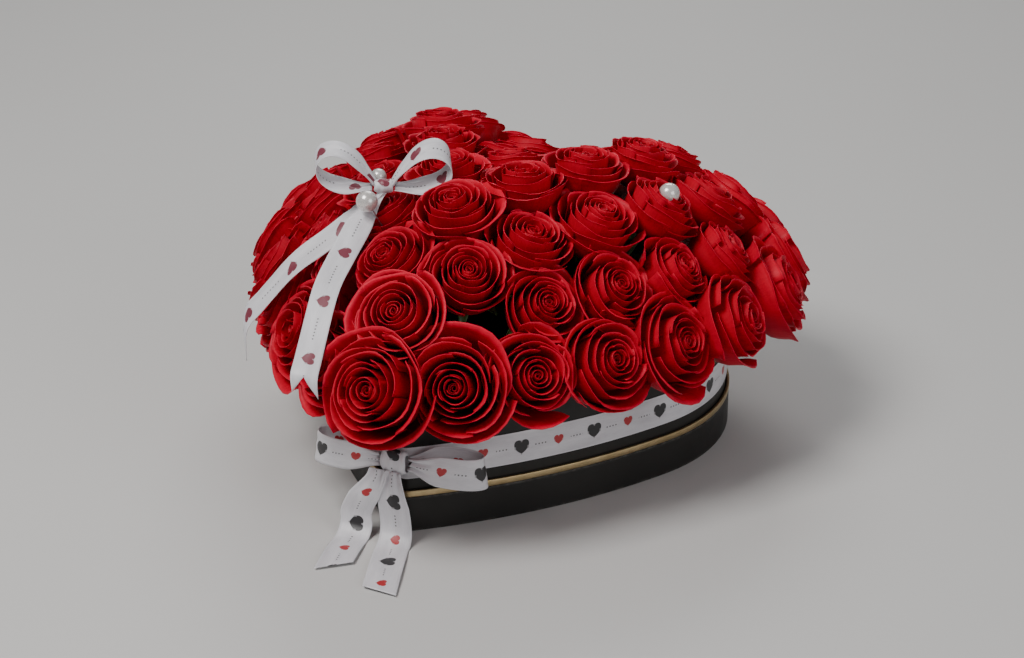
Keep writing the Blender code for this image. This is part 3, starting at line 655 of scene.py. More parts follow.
def end_faces(rings, count):
    """The two faces that fill the first and the last of these rings."""
    return tuple(range(count))[::-1], tuple(range((rings - 1) * count, rings * count))


def turned(profile, around):
    """The points of a surface turned about Z, from (radius, height) pairs."""
    turns = [2 * math.pi * k / around for k in range(around)]
    return [(r * math.cos(turn), r * math.sin(turn), z) for r, z in profile for turn in turns]


def sweep(name, profile, material, close=True):
    """Walls that follow the heart. The profile is (inset, height, worn) points, round the section."""
    loops = [heart(inset) for inset, _, _ in profile]
    count = len(loops[0])
    points = [(x, y, z) for loop, (_, z, _) in zip(loops, profile) for x, y in loop]
    worn = [(w, 0.0, 0.0) for _, _, w in profile for _ in range(count)]
    faces = ring_faces(len(profile), count, close)
    if not close:
        lower, upper = end_faces(len(profile), count)
        faces = [lower, *faces, upper]
    return make(name, points, faces, [material], {"worn": worn}, sharp=50)


WORN_BAND = 0.0022
PANEL_SOFT = 0.0003


def wall_profile(outer, inner, bottom, top, soft):
    """The section of a card wall with softened, worn edges, in order round from the bottom of its outside."""
    edge = [(soft, 0.0, 1.0), (soft * 0.3, soft * 0.3, 1.0), (0.0, soft, 0.9), (0.0, WORN_BAND, 0.0)]
    profile = [(outer + inset, bottom + rise, worn) for inset, rise, worn in edge]
    profile += [(outer + inset, top - rise, worn) for inset, rise, worn in edge[::-1]]
    profile += [(inner - inset, top - rise, worn) for inset, rise, worn in edge]
    profile += [(inner, bottom + WORN_BAND, 0.0), (inner, bottom + soft, 0.5)]
    return profile + [(inner - soft, bottom, 0.5)]


def panel(name, inset, bottom, top, material):
    soft = PANEL_SOFT
    profile = [(inset + soft, bottom, 0.5), (inset, bottom + soft, 0.2), (inset, top - soft, 0.2)]
    return sweep(name, profile + [(inset + soft, top, 0.1)], material, close=False)


def smooth_path(points, count):
    """A path of count points through these ones, evenly spaced along a smooth curve."""
    points = np.asarray(points, float)
    padded = np.vstack([2 * points[0] - points[1], points, 2 * points[-1] - points[-2]])
    fine = []
    for i in range(len(points) - 1):
        p0, p1, p2, p3 = padded[i : i + 4]
        t = np.linspace(0, 1, 24, endpoint=i == len(points) - 2)[:, None]
        curve = 2 * p1 + (p2 - p0) * t + (2 * p0 - 5 * p1 + 4 * p2 - p3) * t**2
        fine.append(0.5 * (curve + (3 * p1 - p0 - 3 * p2 + p3) * t**3))
    fine = np.vstack(fine)
    length = np.append(0, np.cumsum(np.linalg.norm(np.diff(fine, axis=0), axis=1)))
    even = np.linspace(0, length[-1], count)
    return np.column_stack([np.interp(even, length, fine[:, k]) for k in range(3)]), length[-1]


SATIN_THICKNESS = 0.0004
RIBBON_COLUMNS = 13


def ribbon(name, path, across, widths, finish, start, depth, waves, cuts=None):
    """A satin ribbon along a path of evenly spaced points.

    Its printed pattern begins at start. It is pleated into so many waves across, with the depth of the pleats
    given at each point of the path. Cuts are how much shorter each column is at the end.
    """
    across = across / np.linalg.norm(across, axis=1, keepdims=True)
    rows = len(path)
    length = np.linalg.norm(np.diff(path, axis=0), axis=1).sum()
    u = np.linspace(-1, 1, RIBBON_COLUMNS)
    cuts = np.zeros(RIBBON_COLUMNS) if cuts is None else cuts
    s = np.linspace(0, 1, rows)[:, None] * (1 - cuts[None] / length)
    index = np.linspace(0, 1, rows)

    def at(values):
        return np.stack([np.interp(s, index, values[:, k]) for k in range(3)], axis=-1)

    width = np.interp(s, index, widths)
    grid = at(path) + at(across) * (u[None] * width / 2)[..., None]
    fold = np.interp(s, index, depth) * np.cos(u[None] * waves * math.pi)
    grid = grid + normals_of(grid) * fold[..., None]
    normal = normals_of(grid)
    points = np.concatenate([grid + normal * SATIN_THICKNESS / 2, grid - normal * SATIN_THICKNESS / 2])
    flat_across = np.broadcast_to(u[None] * widths.max() / 2, s.shape)
    marks = np.stack([start + s * length, flat_across, np.zeros_like(s)], -1)
    faces = shell_faces(rows, RIBBON_COLUMNS)
    values = np.concatenate([marks, marks]).reshape(-1, 3)
    return make(name, points.reshape(-1, 3), faces, [finish], {"ribbon": values})


LOOP_POINTS = 56
LOOP_OPENING = 0.40  # radians left open at the knot
LOOP_PINCH = 0.42  # the share of the ribbon's width that is left at the knot
LOOP_GATHERED = 0.22  # the share of the loop's length, at each end, over which it opens out


def bow_loop_path(frame_matrix, length, height, droop):
    """The drop-shaped path of a bow's loop, in a frame where it runs along X and stands up along Z."""
    turns = np.linspace(LOOP_OPENING, 2 * math.pi - LOOP_OPENING, 60)
    x = length / 2 * (1 - np.cos(turns))
    z = height * 0.62 * np.sin(turns) * np.sin(turns / 2)
    y = -droop * (x / length) ** 2
    points = [frame_matrix @ Vector(p) for p in zip(x, y, z)]
    return smooth_path([tuple(p) for p in points], LOOP_POINTS)


def eased(part):
    """From 0 to 1 with no kink at either end."""
    part = np.clip(part, 0, 1)
    return part**2 * (3 - 2 * part)


KNOT_THICKNESS = 0.0005
KNOT_LAP = 0.012
KNOT_ROUND_SHARE = 0.87  # of the way round the knot's box, as it is drawn in at its ends


def knot(name, frame_matrix, size, finish, waves, seed):
    """The ribbon that wraps the middle of a bow: a full, pleated band, drawn in at both ends.

    Gives the piece and the flat width and length of its ribbon.
    """
    width, depth, height = size
    rows, around = 17, 48
    chance = np.random.default_rng(seed).uniform(0, 2 * math.pi, 3)
    s = np.linspace(-1, 1, rows)[:, None]
    turn = np.linspace(0, 2 * math.pi, around, endpoint=False)[None]
    waist = (1 - 0.36 * np.abs(s) ** 3.2) * (1 - 0.06 * np.cos(s * 3.0))
    ridge = 0.93 + 0.055 * np.cos(waves * math.pi * s + 0.7 * np.sin(turn * 2 + chance[0]))
    ridge += 0.022 * np.sin(2 * waves * math.pi * s + chance[1] + turn)
    x = width / 2 * s * (1 + 0.04 * np.sin(turn * 3 + chance[2])) * 0.97
    layers = []
    for inwards in (0.0, KNOT_THICKNESS):
        y = (depth / 2 * waist * ridge - inwards) * np.cos(turn)
        z = (height / 2 * waist * ridge - inwards) * np.sin(turn)
        layers.append(np.stack([x + 0 * y, y, z], -1).reshape(-1, 3))
    round_it = (depth + height) / 2 * math.pi
    along = turn / (2 * math.pi) * round_it + KNOT_LAP + 0 * s
    marks = np.stack([along, s * width / 2 + 0 * turn, 0 * s * turn], -1)
    index = np.arange(rows * around).reshape(rows, around)
    following = np.roll(index, -1, axis=1)
    faces = [np.stack([index[:-1], following[:-1], following[1:], index[1:]], -1).reshape(-1, 4)]
    faces.append(faces[0][:, ::-1] + rows * around)
    back = rows * around
    faces.append(np.stack([following[0], index[0], index[0] + back, following[0] + back], -1))
    faces.append(np.stack([index[-1], following[-1], following[-1] + back, index[-1] + back], -1))
    matrix = np.array(frame_matrix)
    points = np.vstack(layers) @ matrix[:3, :3].T + matrix[:3, 3]
    values = np.concatenate([marks, marks]).reshape(-1, 3)
    obj = make(name, points, np.vstack(faces), [finish], {"ribbon": values}, sharp=60)
    return obj, (width, round_it * KNOT_ROUND_SHARE)


# ---- the lid, the box and what is in it ----


def stand_for(obj, body, slot, *nodes):
    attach(obj, body)
    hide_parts(*nodes)
    return obj


card, gold = card_material(), gold_material()
gold_bottom = LID_HEIGHT - GOLD_HEIGHT
stand_for(panel("lid_inside_panel", CARD + GAP, 0.0, CARD, card), "lid_base", "black_card", "lid_panel")
lid_wall = sweep("lid_wall", wall_profile(0.0, CARD, 0.0, gold_bottom - GAP, 0.0004), card)
stand_for(lid_wall, "lid_base", "black_card", "lid_side_wall")
gold_edge = sweep("lid_gold_rim", wall_profile(-GAP, CARD, gold_bottom, LID_HEIGHT, 0.0005), gold)
stand_for(gold_edge, "lid_base", "gold_foil", "lid_gold_edge")
bottom = panel("box_floor", BOX_INSIDE + GAP, BOX_BOTTOM, BOX_BOTTOM + CARD, card)
stand_for(bottom, "box", "black_card", "box_bottom_panel")
box_wall = sweep("box_wall", wall_profile(BOX_OUTSIDE, BOX_INSIDE, BOX_BOTTOM, BOX_RIM, 0.0006), card)
stand_for(box_wall, "box", "black_card", "box_side_wall")

TRAY_BELOW_RIM = 0.004
TRAY_SHEET = 0.0008
TRAY_FOOT = [(0.003, 0.0), (0.0008, 0.0008), (0.0, 0.003)]

outside = [(TRAY_OUTSIDE + inset, TRAY_BOTTOM + rise, 0.0) for inset, rise in TRAY_FOOT]
inside = [(TRAY_INSIDE + inset, TRAY_BOTTOM + TRAY_SHEET + rise, 0.0) for inset, rise in TRAY_FOOT[::-1]]
edge = [(inset, BOX_RIM - TRAY_BELOW_RIM, 0.0) for inset in (TRAY_OUTSIDE, TRAY_INSIDE)]
tray = sweep("liner_tray", outside + edge + inside, liner_material(), close=False)
stand_for(tray, "arrangement", "liner", "foam_tray")
foam_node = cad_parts["floral_foam"]
foam_node.data.materials.clear()
foam_node.data.materials.append(foam_material())

# ---- the ribbon and bow round the box ----

BLACK_INK, RED_INK, WINE_INK = (0.006, 0.005, 0.006), (0.42, 0.006, 0.010), (0.18, 0.012, 0.032)
box_satin = satin_material(
    "box satin",
    [((0.060, 0.0052, 0.0), BLACK_INK), ((0.060, 0.0034, 0.030), RED_INK)],
    [((0.0026, 0.0006, 0.0, 0.0013, 0.030, (-0.0113, 0.010)), BLACK_INK)],
    BOX_RIBBON_WIDTH / 2,
    0.95,
)
top_satin = satin_material(
    "top satin",
    [((0.048, 0.0044, 0.0), WINE_INK)],
    [((0.0028, 0.0006, 0.0, 0.0014, 0.048, (-0.0394, 0.019)), BLACK_INK)],
    TOP_RIBBON_WIDTH / 2,
)


def make_band():
    """The ribbon round the box, a taut loop with a slight roll at its edges."""
    face = BOX_OUTSIDE - GAP
    sections = [(-0.5, 0.0), (-0.46, 1.0), (-0.25, 1.0), (0.0, 1.0), (0.25, 1.0), (0.46, 1.0), (0.5, 0.0)]
    profile = [(face - RIBBON_THICKNESS * (0.55 + 0.45 * o), v) for v, o in sections]
    profile += [(face, v) for v, _ in sections[::-1]]
    loops = [taut_heart(inset) for inset, _ in profile]
    count = len(loops[0])
    base = np.array(loops[0] + [loops[0][0]])
    along = np.append(0, np.cumsum(np.linalg.norm(np.diff(base, axis=0), axis=1)))
    points, marks = [], []
    for loop, (_, v) in zip(loops, profile):
        points += [(x, y, RIBBON_MIDDLE + v * BOX_RIBBON_WIDTH) for x, y in loop]
        marks += [(along[i], v * BOX_RIBBON_WIDTH, 0.0) for i in range(count)]
    faces = ring_faces(len(profile), count, close=True)
    band = make("box_satin_band", points, faces, [box_satin], {"ribbon": marks}, sharp=60)
    stand_for(band, "box", "white_satin", "box_ribbon_band")


make_band()
front_y = min(y for _, y in taut_heart(BOX_OUTSIDE - GAP - RIBBON_THICKNESS)) - GAP
knot_middle = Vector((BOX_KNOT_PLACE[0], front_y - BOX_KNOT[1] / 2, RIBBON_MIDDLE + BOX_KNOT_PLACE[1]))
box_knot, flat = knot("box_satin_knot", Matrix.Translation(knot_middle), BOX_KNOT, box_satin, 2.2, 3)
stand_for(box_knot, "box", "white_satin", "box_bow_knot")

def make_loop(name, node, body, finish, place, size, start, wave, tilt, droop=0.0, up=(0, 0, 0)):
    """A loop of the size (length, height, ribbon width), pinched at the knot and full at its far end.

    Tilt sways it from side to side along its run, droop bends it down, and up leans its whole width over.
    """
    length, height, full = size
    path, run = bow_loop_path(place, length, height, droop)
    s = np.linspace(0, 1, LOOP_POINTS)
    open_up = eased(np.minimum(s, 1 - s) / LOOP_GATHERED)
    widths = full * (LOOP_PINCH + (1 - LOOP_PINCH) * open_up)
    depth = 0.0016 * (1 - open_up) + 0.0003 * np.sin(s * 17.0 + wave) * open_up
    lean = tilt * np.sin(s * math.pi * 2 + 0.4)
    side = (place.to_3x3() @ Vector((0.0, 1.0, 0.0))).normalized()
    out = (place.to_3x3() @ Vector((1.0, 0.0, 0.0))).normalized()
    across = np.array(side[:]) + np.array(up) + lean[:, None] * np.array(out[:])[None]
    obj = ribbon(name, path, across, widths, finish, start, depth, 2.5)
    stand_for(obj, body, "white_satin", node)


for name, sign, swing, start in (("left", -1, 172, 0.016), ("right", 1, 15, 0.034)):
    place = knot_middle + Vector((sign * (BOX_KNOT[0] / 2 - LOOP_IN_KNOT), 0.0, 0.0))
    lying = Matrix.Rotation(math.radians(swing), 4, "Z") @ Matrix.Rotation(math.radians(90), 4, "X")
    make_loop(
        f"box_satin_loop_{name}",
        f"box_bow_loop_{name}",
        "box",
        box_satin,
        Matrix.Translation(place) @ lying,
        (BOX_LOOP_LENGTH, BOX_LOOP_DEPTH, BOX_RIBBON_WIDTH),
        start,
        wave=sign * 1.3,
        tilt=0.28,
        droop=0.002,
    )


TAIL_BEND = 0.014
TAIL_STANDS_OFF = 0.004
TAIL_LEAST_HEIGHT = 0.0006
TAIL_PLEAT = 0.0016


def make_box_tail(name, node, shifts, lies, start, cut, bulge):
    """A tail that leaves the knot, hangs in front of the lid and lies forward on what the box stands on.

    It hangs through three shifts aside, in ribbon widths, and lies so far (aside, forward). A cut above zero
    shortens its right side, and one below zero its left.
    """
    drift, reach = lies
    rest = RIBBON_THICKNESS / 2 + GAP
    top = knot_middle.z - BOX_KNOT[2] / 2 + 0.002
    front = knot_middle.y - BOX_KNOT[1] / 2
    hangs = front - TAIL_STANDS_OFF
    xs = [knot_middle.x + shift * BOX_RIBBON_WIDTH for shift in shifts]
    points = [(xs[0], front + 0.001, top + 0.003), (xs[0], front - 0.0015, top - 0.003)]
    points.append((xs[1], front - 0.0035 - bulge, top * 0.68))
    points.append((xs[2], hangs, TAIL_BEND + rest + 0.003))
    for i in range(1, 5):
        turn = math.pi / 2 * i / 4
        y = hangs - TAIL_BEND * (1 - math.cos(turn))
        points.append((xs[2] + drift * 0.15 * i / 4, y, rest + TAIL_BEND * (1 - math.sin(turn))))
    last = np.array(points[-1])
    for part in (0.3, 0.65, 1.0):
        lift = 0.0022 * math.sin(part * math.pi) + (0.0012 if part == 1.0 else 0.0)
        points.append(tuple(last + np.array([drift * 0.85 * part, -reach * part, lift])))
    path, length = smooth_path(points, 72)
    path[:, 2] = np.maximum(path[:, 2], TAIL_LEAST_HEIGHT)
    s = np.linspace(0, 1, len(path))
    end_run = path[-1] - path[-12]
    square = np.array([-end_run[1], end_run[0], 0.0]) / math.hypot(end_run[0], end_run[1])
    square = square if square[0] > 0 else -square
    blend = eased((s - 0.30) / 0.35)[:, None]
    across = (1 - blend) * np.array([[1.0, 0.0, 0.0]]) + blend * square[None]
    spread = np.clip(s / 0.20, 0, 1) ** 0.8
    widths = BOX_RIBBON_WIDTH * (0.46 + 0.54 * spread)
    depth = TAIL_PLEAT * (1 - spread) + 0.0004 * np.sin(s * 11.0) * np.clip(1 - s / 0.6, 0, 1)
    cuts = abs(cut) * (1 + math.copysign(1, cut) * np.linspace(-1, 1, RIBBON_COLUMNS)) / 2
    obj = ribbon(name, path, across, widths, box_satin, start, depth, 2.0, cuts)
    stand_for(obj, "box", "white_satin", node)


for name, shifts, *rest in (
    ("front", (0.06, 0.12, 0.18), (0.024, 0.062), 0.008, -0.010, 0.001),
    ("left", (-0.46, -0.76, -1.08), (0.010, 0.046), 0.040, 0.014, 0.002),
):
    make_box_tail(f"box_satin_tail_{name}", f"box_bow_tail_{name}", shifts, *rest)

# ---- the roses ----

PETALS = 23
PETAL_COLUMNS = 13
PETAL_ROWS = 0.0, 0.13, 0.27, 0.41, 0.54, 0.65, 0.74, 0.82, 0.89, 0.95, 1.0
PETAL_THICKNESS = 0.0003
GOLDEN = math.radians(137.5)
# Each pair gives values at places from the innermost petal (0) to the outermost (1), in radii of the rose
# unless they are degrees.
RIM_RADIUS = (0, 0.1, 0.25, 0.42, 0.6, 0.78, 0.9, 1), (0.035, 0.085, 0.18, 0.32, 0.51, 0.73, 0.88, 0.98)
RIM_HEIGHT = (0, 0.2, 0.45, 0.62, 0.8, 1), (0.30, 0.39, 0.42, 0.35, 0.22, 0.00)
CURL_RADIUS = (0, 0.3, 0.6, 1), (0.005, 0.016, 0.050, 0.11)
CURL_DEGREES = (0, 0.3, 0.6, 1), (25, 50, 88, 122)
WRAP_DEGREES = (0, 0.15, 0.35, 0.6, 1), (165, 122, 86, 74, 68)
PETAL_BASE = 0.07, -0.74
CURL_STARTS = 0.70
OPENNESS = 1.0, 0.96, 1.04, 0.92, 1.02, 0.98, 1.06, 0.94
FIRST_SHAPE_SEED = 11
OPEN_LEAST, OPEN_MOST = 0.0270, 0.0345
OPEN_RADII = np.clip(np.sort(SPACING, axis=1)[:, 1:5].mean(1) / 2, OPEN_LEAST, OPEN_MOST)
OPEN_OVERLAP = 1.13  # how much wider than that a head is, as neighbours press into each other
FIRST_ROSE_LARGER = 1.12


def rose_shape(seed, openness):
    """The points and marks of every petal of one rose of radius 1, its axis along Z.

    Both are shaped (petal, across, up, 3). Of the sizes here, u runs across a petal, v up it, and t from the
    innermost petal to the outermost.
    """
    chance = np.random.default_rng(seed)
    t = np.linspace(0, 1, PETALS)
    rim_r = np.interp(t, *RIM_RADIUS)
    rim_z = np.interp(t, *RIM_HEIGHT)
    rim_r *= openness * (1 + chance.normal(0, 0.022, PETALS))
    rim_z += chance.normal(0, 0.026, PETALS)
    curl = np.interp(t, *CURL_RADIUS) * (1 + chance.normal(0, 0.15, PETALS))
    roll = np.radians(np.interp(t, *CURL_DEGREES)) * (1 + chance.normal(0, 0.12, PETALS))
    half = np.radians(np.interp(t, *WRAP_DEGREES))
    start = np.arange(PETALS) * GOLDEN + chance.normal(0, 0.13, PETALS)
    t, rim_r, rim_z, curl, roll = (values[:, None, None] for values in (t, rim_r, rim_z, curl, roll))
    u = np.linspace(-1, 1, PETAL_COLUMNS)[None, :, None]
    v = np.array(PETAL_ROWS)[None, None, :]
    tip_at = chance.normal(0, 0.12, PETALS)[:, None, None]
    tip = (0.02 + 0.06 * t) * np.exp(-(((u - tip_at) / 0.22) ** 2))
    w = v * (1 - (0.05 + 0.20 * t) * np.abs(u) ** 2.4 + tip)
    s = np.clip(w / CURL_STARTS, 0, 1)
    low_r, low_z = rim_r + 0.10, -0.68 + 0.06 * t
    high_r, high_z = rim_r * (1.04 - 0.30 * t) + 0.02, rim_z - 0.40 + 0.16 * t**2
    bend = [(1 - s) ** 3, 3 * (1 - s) ** 2 * s, 3 * (1 - s) * s**2, s**3]
    r = bend[0] * PETAL_BASE[0] + bend[1] * low_r + bend[2] * high_r + bend[3] * rim_r
    z = bend[0] * PETAL_BASE[1] + bend[1] * low_z + bend[2] * high_z + bend[3] * (rim_z - curl)
    phi = roll * (0.60 + 0.65 * u**2) * np.clip((w - CURL_STARTS) / (1 - CURL_STARTS), 0, 1.15)
    wide = curl * (0.90 + 0.35 * u**2)
    r = r + wide * (1 - np.cos(phi))
    z = z + wide * np.sin(phi)
    wave = chance.uniform(0, 2 * math.pi, (4, PETALS))[:, :, None, None]
    large, small = 0.008 + 0.034 * t, 0.002 + 0.016 * t
    r = r + large * np.sin(2.2 * u + wave[0]) * v**2
    r = r + small * np.sin(6.5 * u + wave[1]) * v**4
    z = z + large * np.sin(2.9 * u + wave[2]) * v**3
    z = z + small * np.sin(7.0 * u + wave[3]) * v**4
    r = r * (1 + (0.12 - 0.02 * t) * u * np.clip(v * 1.5, 0, 1))
    opening = 0.36 + 0.64 * np.sin(np.clip(v / 0.60, 0, 1) * math.pi / 2)
    theta = start[:, None, None] + u * half[:, None, None] * opening
    grid = np.stack([r * np.cos(theta), r * np.sin(theta), z + 0 * theta], axis=-1)
    # Painted light and shade: low deep in the rose and on its inner petals, high towards the rims of the
    # outer ones.
    painted_lit = v * (0.35 + 0.65 * np.clip(0.45 + 0.9 * t, 0, 1))
    marks = np.stack(np.broadcast_arrays(u, painted_lit, chance.uniform(0, 1, (PETALS, 1, 1))), axis=-1)
    return grid, marks


SHAPES = [rose_shape(FIRST_SHAPE_SEED + k, openness) for k, openness in enumerate(OPENNESS)]
PETAL_FACES = shell_faces(PETAL_COLUMNS, len(PETAL_ROWS))
STEM_SIDES = 10
# How far below the head's middle, in its radii, and how many times as thick as the stem.
STEM_SWELLING = (1.2, 1.0), (0.95, 1.3), (0.80, 2.4), (0.70, 2.9), (0.62, 1.6)
SEPALS = 5
SEPAL_SHAPE = 7, 5
SEPAL_THICKNESS = 0.0005


def stem_mesh(length, radius):
    """The points and faces of a straight stem that swells under a head of this radius."""
    profile = [(STEM_RADIUS * 0.9, -length), (STEM_RADIUS, -length + 0.002)]
    profile += [(STEM_RADIUS * grow, -radius * below) for below, grow in STEM_SWELLING]
    faces = ring_faces(len(profile), STEM_SIDES) + [*end_faces(len(profile), STEM_SIDES)]
    return turned(profile, STEM_SIDES), faces


def sepal_grid(radius, turn, droop):
    """One pointed sepal, shaped (along, across, 3)."""
    s = np.linspace(0, 1, SEPAL_SHAPE[0])[:, None]
    u = np.linspace(-1, 1, SEPAL_SHAPE[1])[None]
    r = 0.0050 + radius * 0.80 * s**0.9
    z = -radius * 0.80 + radius * (0.34 * s**1.6 - droop * s**2.5)
    wide = 0.0042 * np.sin(np.clip(0.25 + s * 0.75, 0, 1) * math.pi) ** 0.8 + 0.0002
    x = r * np.ones_like(u)
    y = u * wide
    z = z + 0.0010 * u**2
    return np.stack([x * math.cos(turn) - y * math.sin(turn), x * math.sin(turn) + y * math.cos(turn), z], -1)


def rose_mesh(i, chance):
    """(points, faces, petal marks, rose marks, material indices) of one rose in place."""
    grid, marks = SHAPES[int(chance.integers(len(SHAPES)))]
    larger = FIRST_ROSE_LARGER if i == 0 else 1.0
    radius = OPEN_RADII[i] * OPEN_OVERLAP * chance.uniform(0.97, 1.04) * larger
    towards = Matrix.Rotation(chance.uniform(0, 2 * math.pi), 3, Vector((0, 0, 1))) @ Vector((1, 0, 0))
    lean = np.array([*chance.normal(0, 0.06, 2), 0.0])
    matrix = np.array(axis_frame(HEADS[i], AXES[i] + lean, towards))
    grid = grid * radius
    normal = normals_of(grid)
    both = np.concatenate([grid[:, None], (grid + normal * PETAL_THICKNESS)[:, None]], axis=1)
    count = PETAL_COLUMNS * len(PETAL_ROWS) * 2
    points = [both.reshape(-1, 3)]
    faces = [(PETAL_FACES[None, :, ::-1] + np.arange(PETALS)[:, None, None] * count).reshape(-1, 4).tolist()]
    petal = [np.concatenate([marks[:, None], marks[:, None]], axis=1).reshape(-1, 3)]
    kinds = [np.zeros(len(faces[0]), int)]
    first = len(points[0])
    stem, stem_faces = stem_mesh(stem_length(HEADS[i], AXES[i]), RADII[i])
    points.append(np.array(stem))
    faces.append([tuple(k + first for k in face) for face in stem_faces])
    first += len(stem)
    for k in range(SEPALS):
        turn = 2 * math.pi * k / SEPALS + chance.uniform(-0.2, 0.2)
        sheet = sepal_grid(RADII[i], turn, chance.uniform(0.2, 0.6))
        thick = normals_of(sheet) * SEPAL_THICKNESS
        points.append(np.concatenate([sheet, sheet - thick]).reshape(-1, 3))
        faces.append((shell_faces(*SEPAL_SHAPE) + first).tolist())
        first += len(points[-1])
    points = np.vstack(points)
    points = points @ matrix[:3, :3].T + matrix[:3, 3]
    petal.append(np.zeros((len(points) - len(petal[0]), 3)))
    faces_all = [face for group in faces for face in group]
    kinds.append(np.ones(len(faces_all) - len(kinds[0]), int))
    rose = np.tile([[chance.uniform(0, 1), 0.0, 0.0]], (len(points), 1))
    return points, faces_all, np.vstack(petal), rose, np.concatenate(kinds)


petals, green = petal_material(), green_material()


def make_roses():
    """Makes every rose piece, and gives the name of the piece that each rose is in."""
    piece_of = {}
    chance = np.random.default_rng(7)
    made = [rose_mesh(i, chance) for i in range(len(HEADS))]
    edge, inner = range(len(EDGE)), range(len(EDGE), len(HEADS))
    both = (edge, EDGE_NODES, "edge_rose", "rose_edge"), (inner, INNER_NODES, "inner_roses", "roses_inner")
    for members, most, label, looks in both:
        for number, group in enumerate(join_neighbours(HEADS, members, most), 1):
            points, faces, petal, rose, kinds, first = [], [], [], [], [], 0
            for i in group:
                points.append(made[i][0])
                faces += [tuple(k + first for k in face) for face in made[i][1]]
                petal.append(made[i][2])
                rose.append(made[i][3])
                kinds.append(made[i][4])
                first += len(made[i][0])
            marks = {"petal": np.vstack(petal), "rose": np.vstack(rose)}
            name = f"{looks}_{number:02d}"
            piece_of.update({i: name for i in group})
            obj = make(name, np.vstack(points), faces, [petals, green], marks, np.concatenate(kinds))
            stand_for(obj, "arrangement", "rose_petals", f"{label}_{number:02d}")
    return piece_of


piece_of = make_roses()

# ---- the bow on top and the pearls ----

bow_rose = nearest_rose(TOP_BOW_PLACE)
bow_frame = axis_frame(HEADS[bow_rose], AXES[bow_rose], TOP_BOW_RIGHT)
knot_height = HEAD_CROWN * RADII[bow_rose] + TOP_KNOT_ABOVE_ROSE + TOP_KNOT[2] / 2
right = Vector(TOP_BOW_RIGHT).normalized()
halfway = Vector(AXES[bow_rose]) + Vector((0.0, 0.0, 1.0))
bow_place = bow_frame @ Vector((TOP_KNOT_ASIDE, 0.0, knot_height))
bow_middle = axis_frame(bow_place, halfway - right * halfway.dot(right), TOP_BOW_RIGHT)
bow_up = np.array(bow_middle.to_3x3().col[2])
top_knot, flat = knot("top_satin_knot", bow_middle, TOP_KNOT, top_satin, 1.8, 5)
stand_for(top_knot, "arrangement", "white_satin", "top_bow_knot")
for name, turn, start, leans in (("left", math.pi, 0.020, -0.30), ("right", 0.0, 0.044, 0.55)):
    away = Matrix.Rotation(turn, 4, "Z") @ Matrix.Translation((TOP_KNOT[0] / 2 - LOOP_IN_KNOT, 0.0, 0.0))
    make_loop(
        f"top_satin_loop_{name}",
        f"top_bow_loop_{name}",
        "arrangement",
        top_satin,
        bow_middle @ away @ Matrix.Rotation(-TOP_LOOP_RISE, 4, "Y"),
        (TOP_LOOP_LENGTH, TOP_LOOP_HEIGHT, TOP_RIBBON_WIDTH * 0.92),
        start,
        wave=turn,
        tilt=0.22,
        up=leans * bow_up,
    )


SWALLOW_CUT = 0.014


def make_top_tail(name, node, end, drop, start_mark, sway, tilt):
    """A tail that runs down over the roses, ends past the outermost ones and is cut to a swallow tail."""
    start = np.array(bow_middle.translation)
    plan = start[:2]
    line = plan + (np.array(end) - plan) * np.linspace(0.10, 1.0, 40)[:, None]
    depth, _ = measure(line, LID_OUTLINE)
    line = line[depth > -ROSE_OVERHANG]
    line = line[np.linspace(0, len(line) - 1, 8).astype(int)]
    depth, _ = measure(line, LID_OUTLINE)
    near_edge = np.clip(1 - (depth + ROSE_OVERHANG) / ROSE_PITCH, 0, 1)
    lift = TOP_TAIL_LIFT + TOP_TAIL_EDGE_LIFT * near_edge
    over = on_dome(line) + lift[:, None] * rose_axes(line)
    out = np.append((np.array(end) - plan) / np.linalg.norm(np.array(end) - plan), 0.0)
    side = np.array([-out[1], out[0], 0.0])
    points = [start - np.array([0, 0, 0.003]), *over]
    points.append(points[-1] + out * 0.012 - np.array([0, 0, drop * 0.4]))
    points.append(points[-1] + out * 0.001 - np.array([0, 0, drop * 0.6]))
    path, length = smooth_path(points, 96)
    s = np.linspace(0, 1, len(path))
    path = path + (sway * np.sin(s * math.pi))[:, None] * side
    path[:, 2] += 0.0012 * np.sin(s * 15.0) * np.sin(s * math.pi)
    spread = eased((s - 0.02) / 0.16)
    widths = TOP_RIBBON_WIDTH * (0.40 + 0.60 * spread)
    twist = (0.4 * (1 - spread) + tilt * spread - 0.12 * np.sin(s * 7.0))[:, None]
    across = side[None] + twist * np.array([[0.0, 0.0, 1.0]])
    depth = 0.0013 * (1 - spread) + 0.0006 * np.sin(s * 9.0) * spread
    cuts = SWALLOW_CUT * (1 - np.abs(np.linspace(-1, 1, RIBBON_COLUMNS)))
    obj = ribbon(name, path, across, widths, top_satin, start_mark, depth, 1.0, cuts)
    stand_for(obj, "arrangement", "white_satin", node)
    under = sorted({piece_of[nearest_rose(place)] for place in line})


make_top_tail("top_satin_tail_front", "top_bow_tail_front", (-0.043, -0.181), 0.022, 0.010, -0.004, -0.10)
make_top_tail("top_satin_tail_left", "top_bow_tail_left", (-0.148, -0.129), 0.040, 0.030, 0.003, -0.70)

pearl, wire = pearl_material(), wire_material()
PEARL_ROWS, PEARL_SIDES = 36, 56
PEARL_HOLE = 0.05  # the share of the half turn from end to end that each end of the hole takes


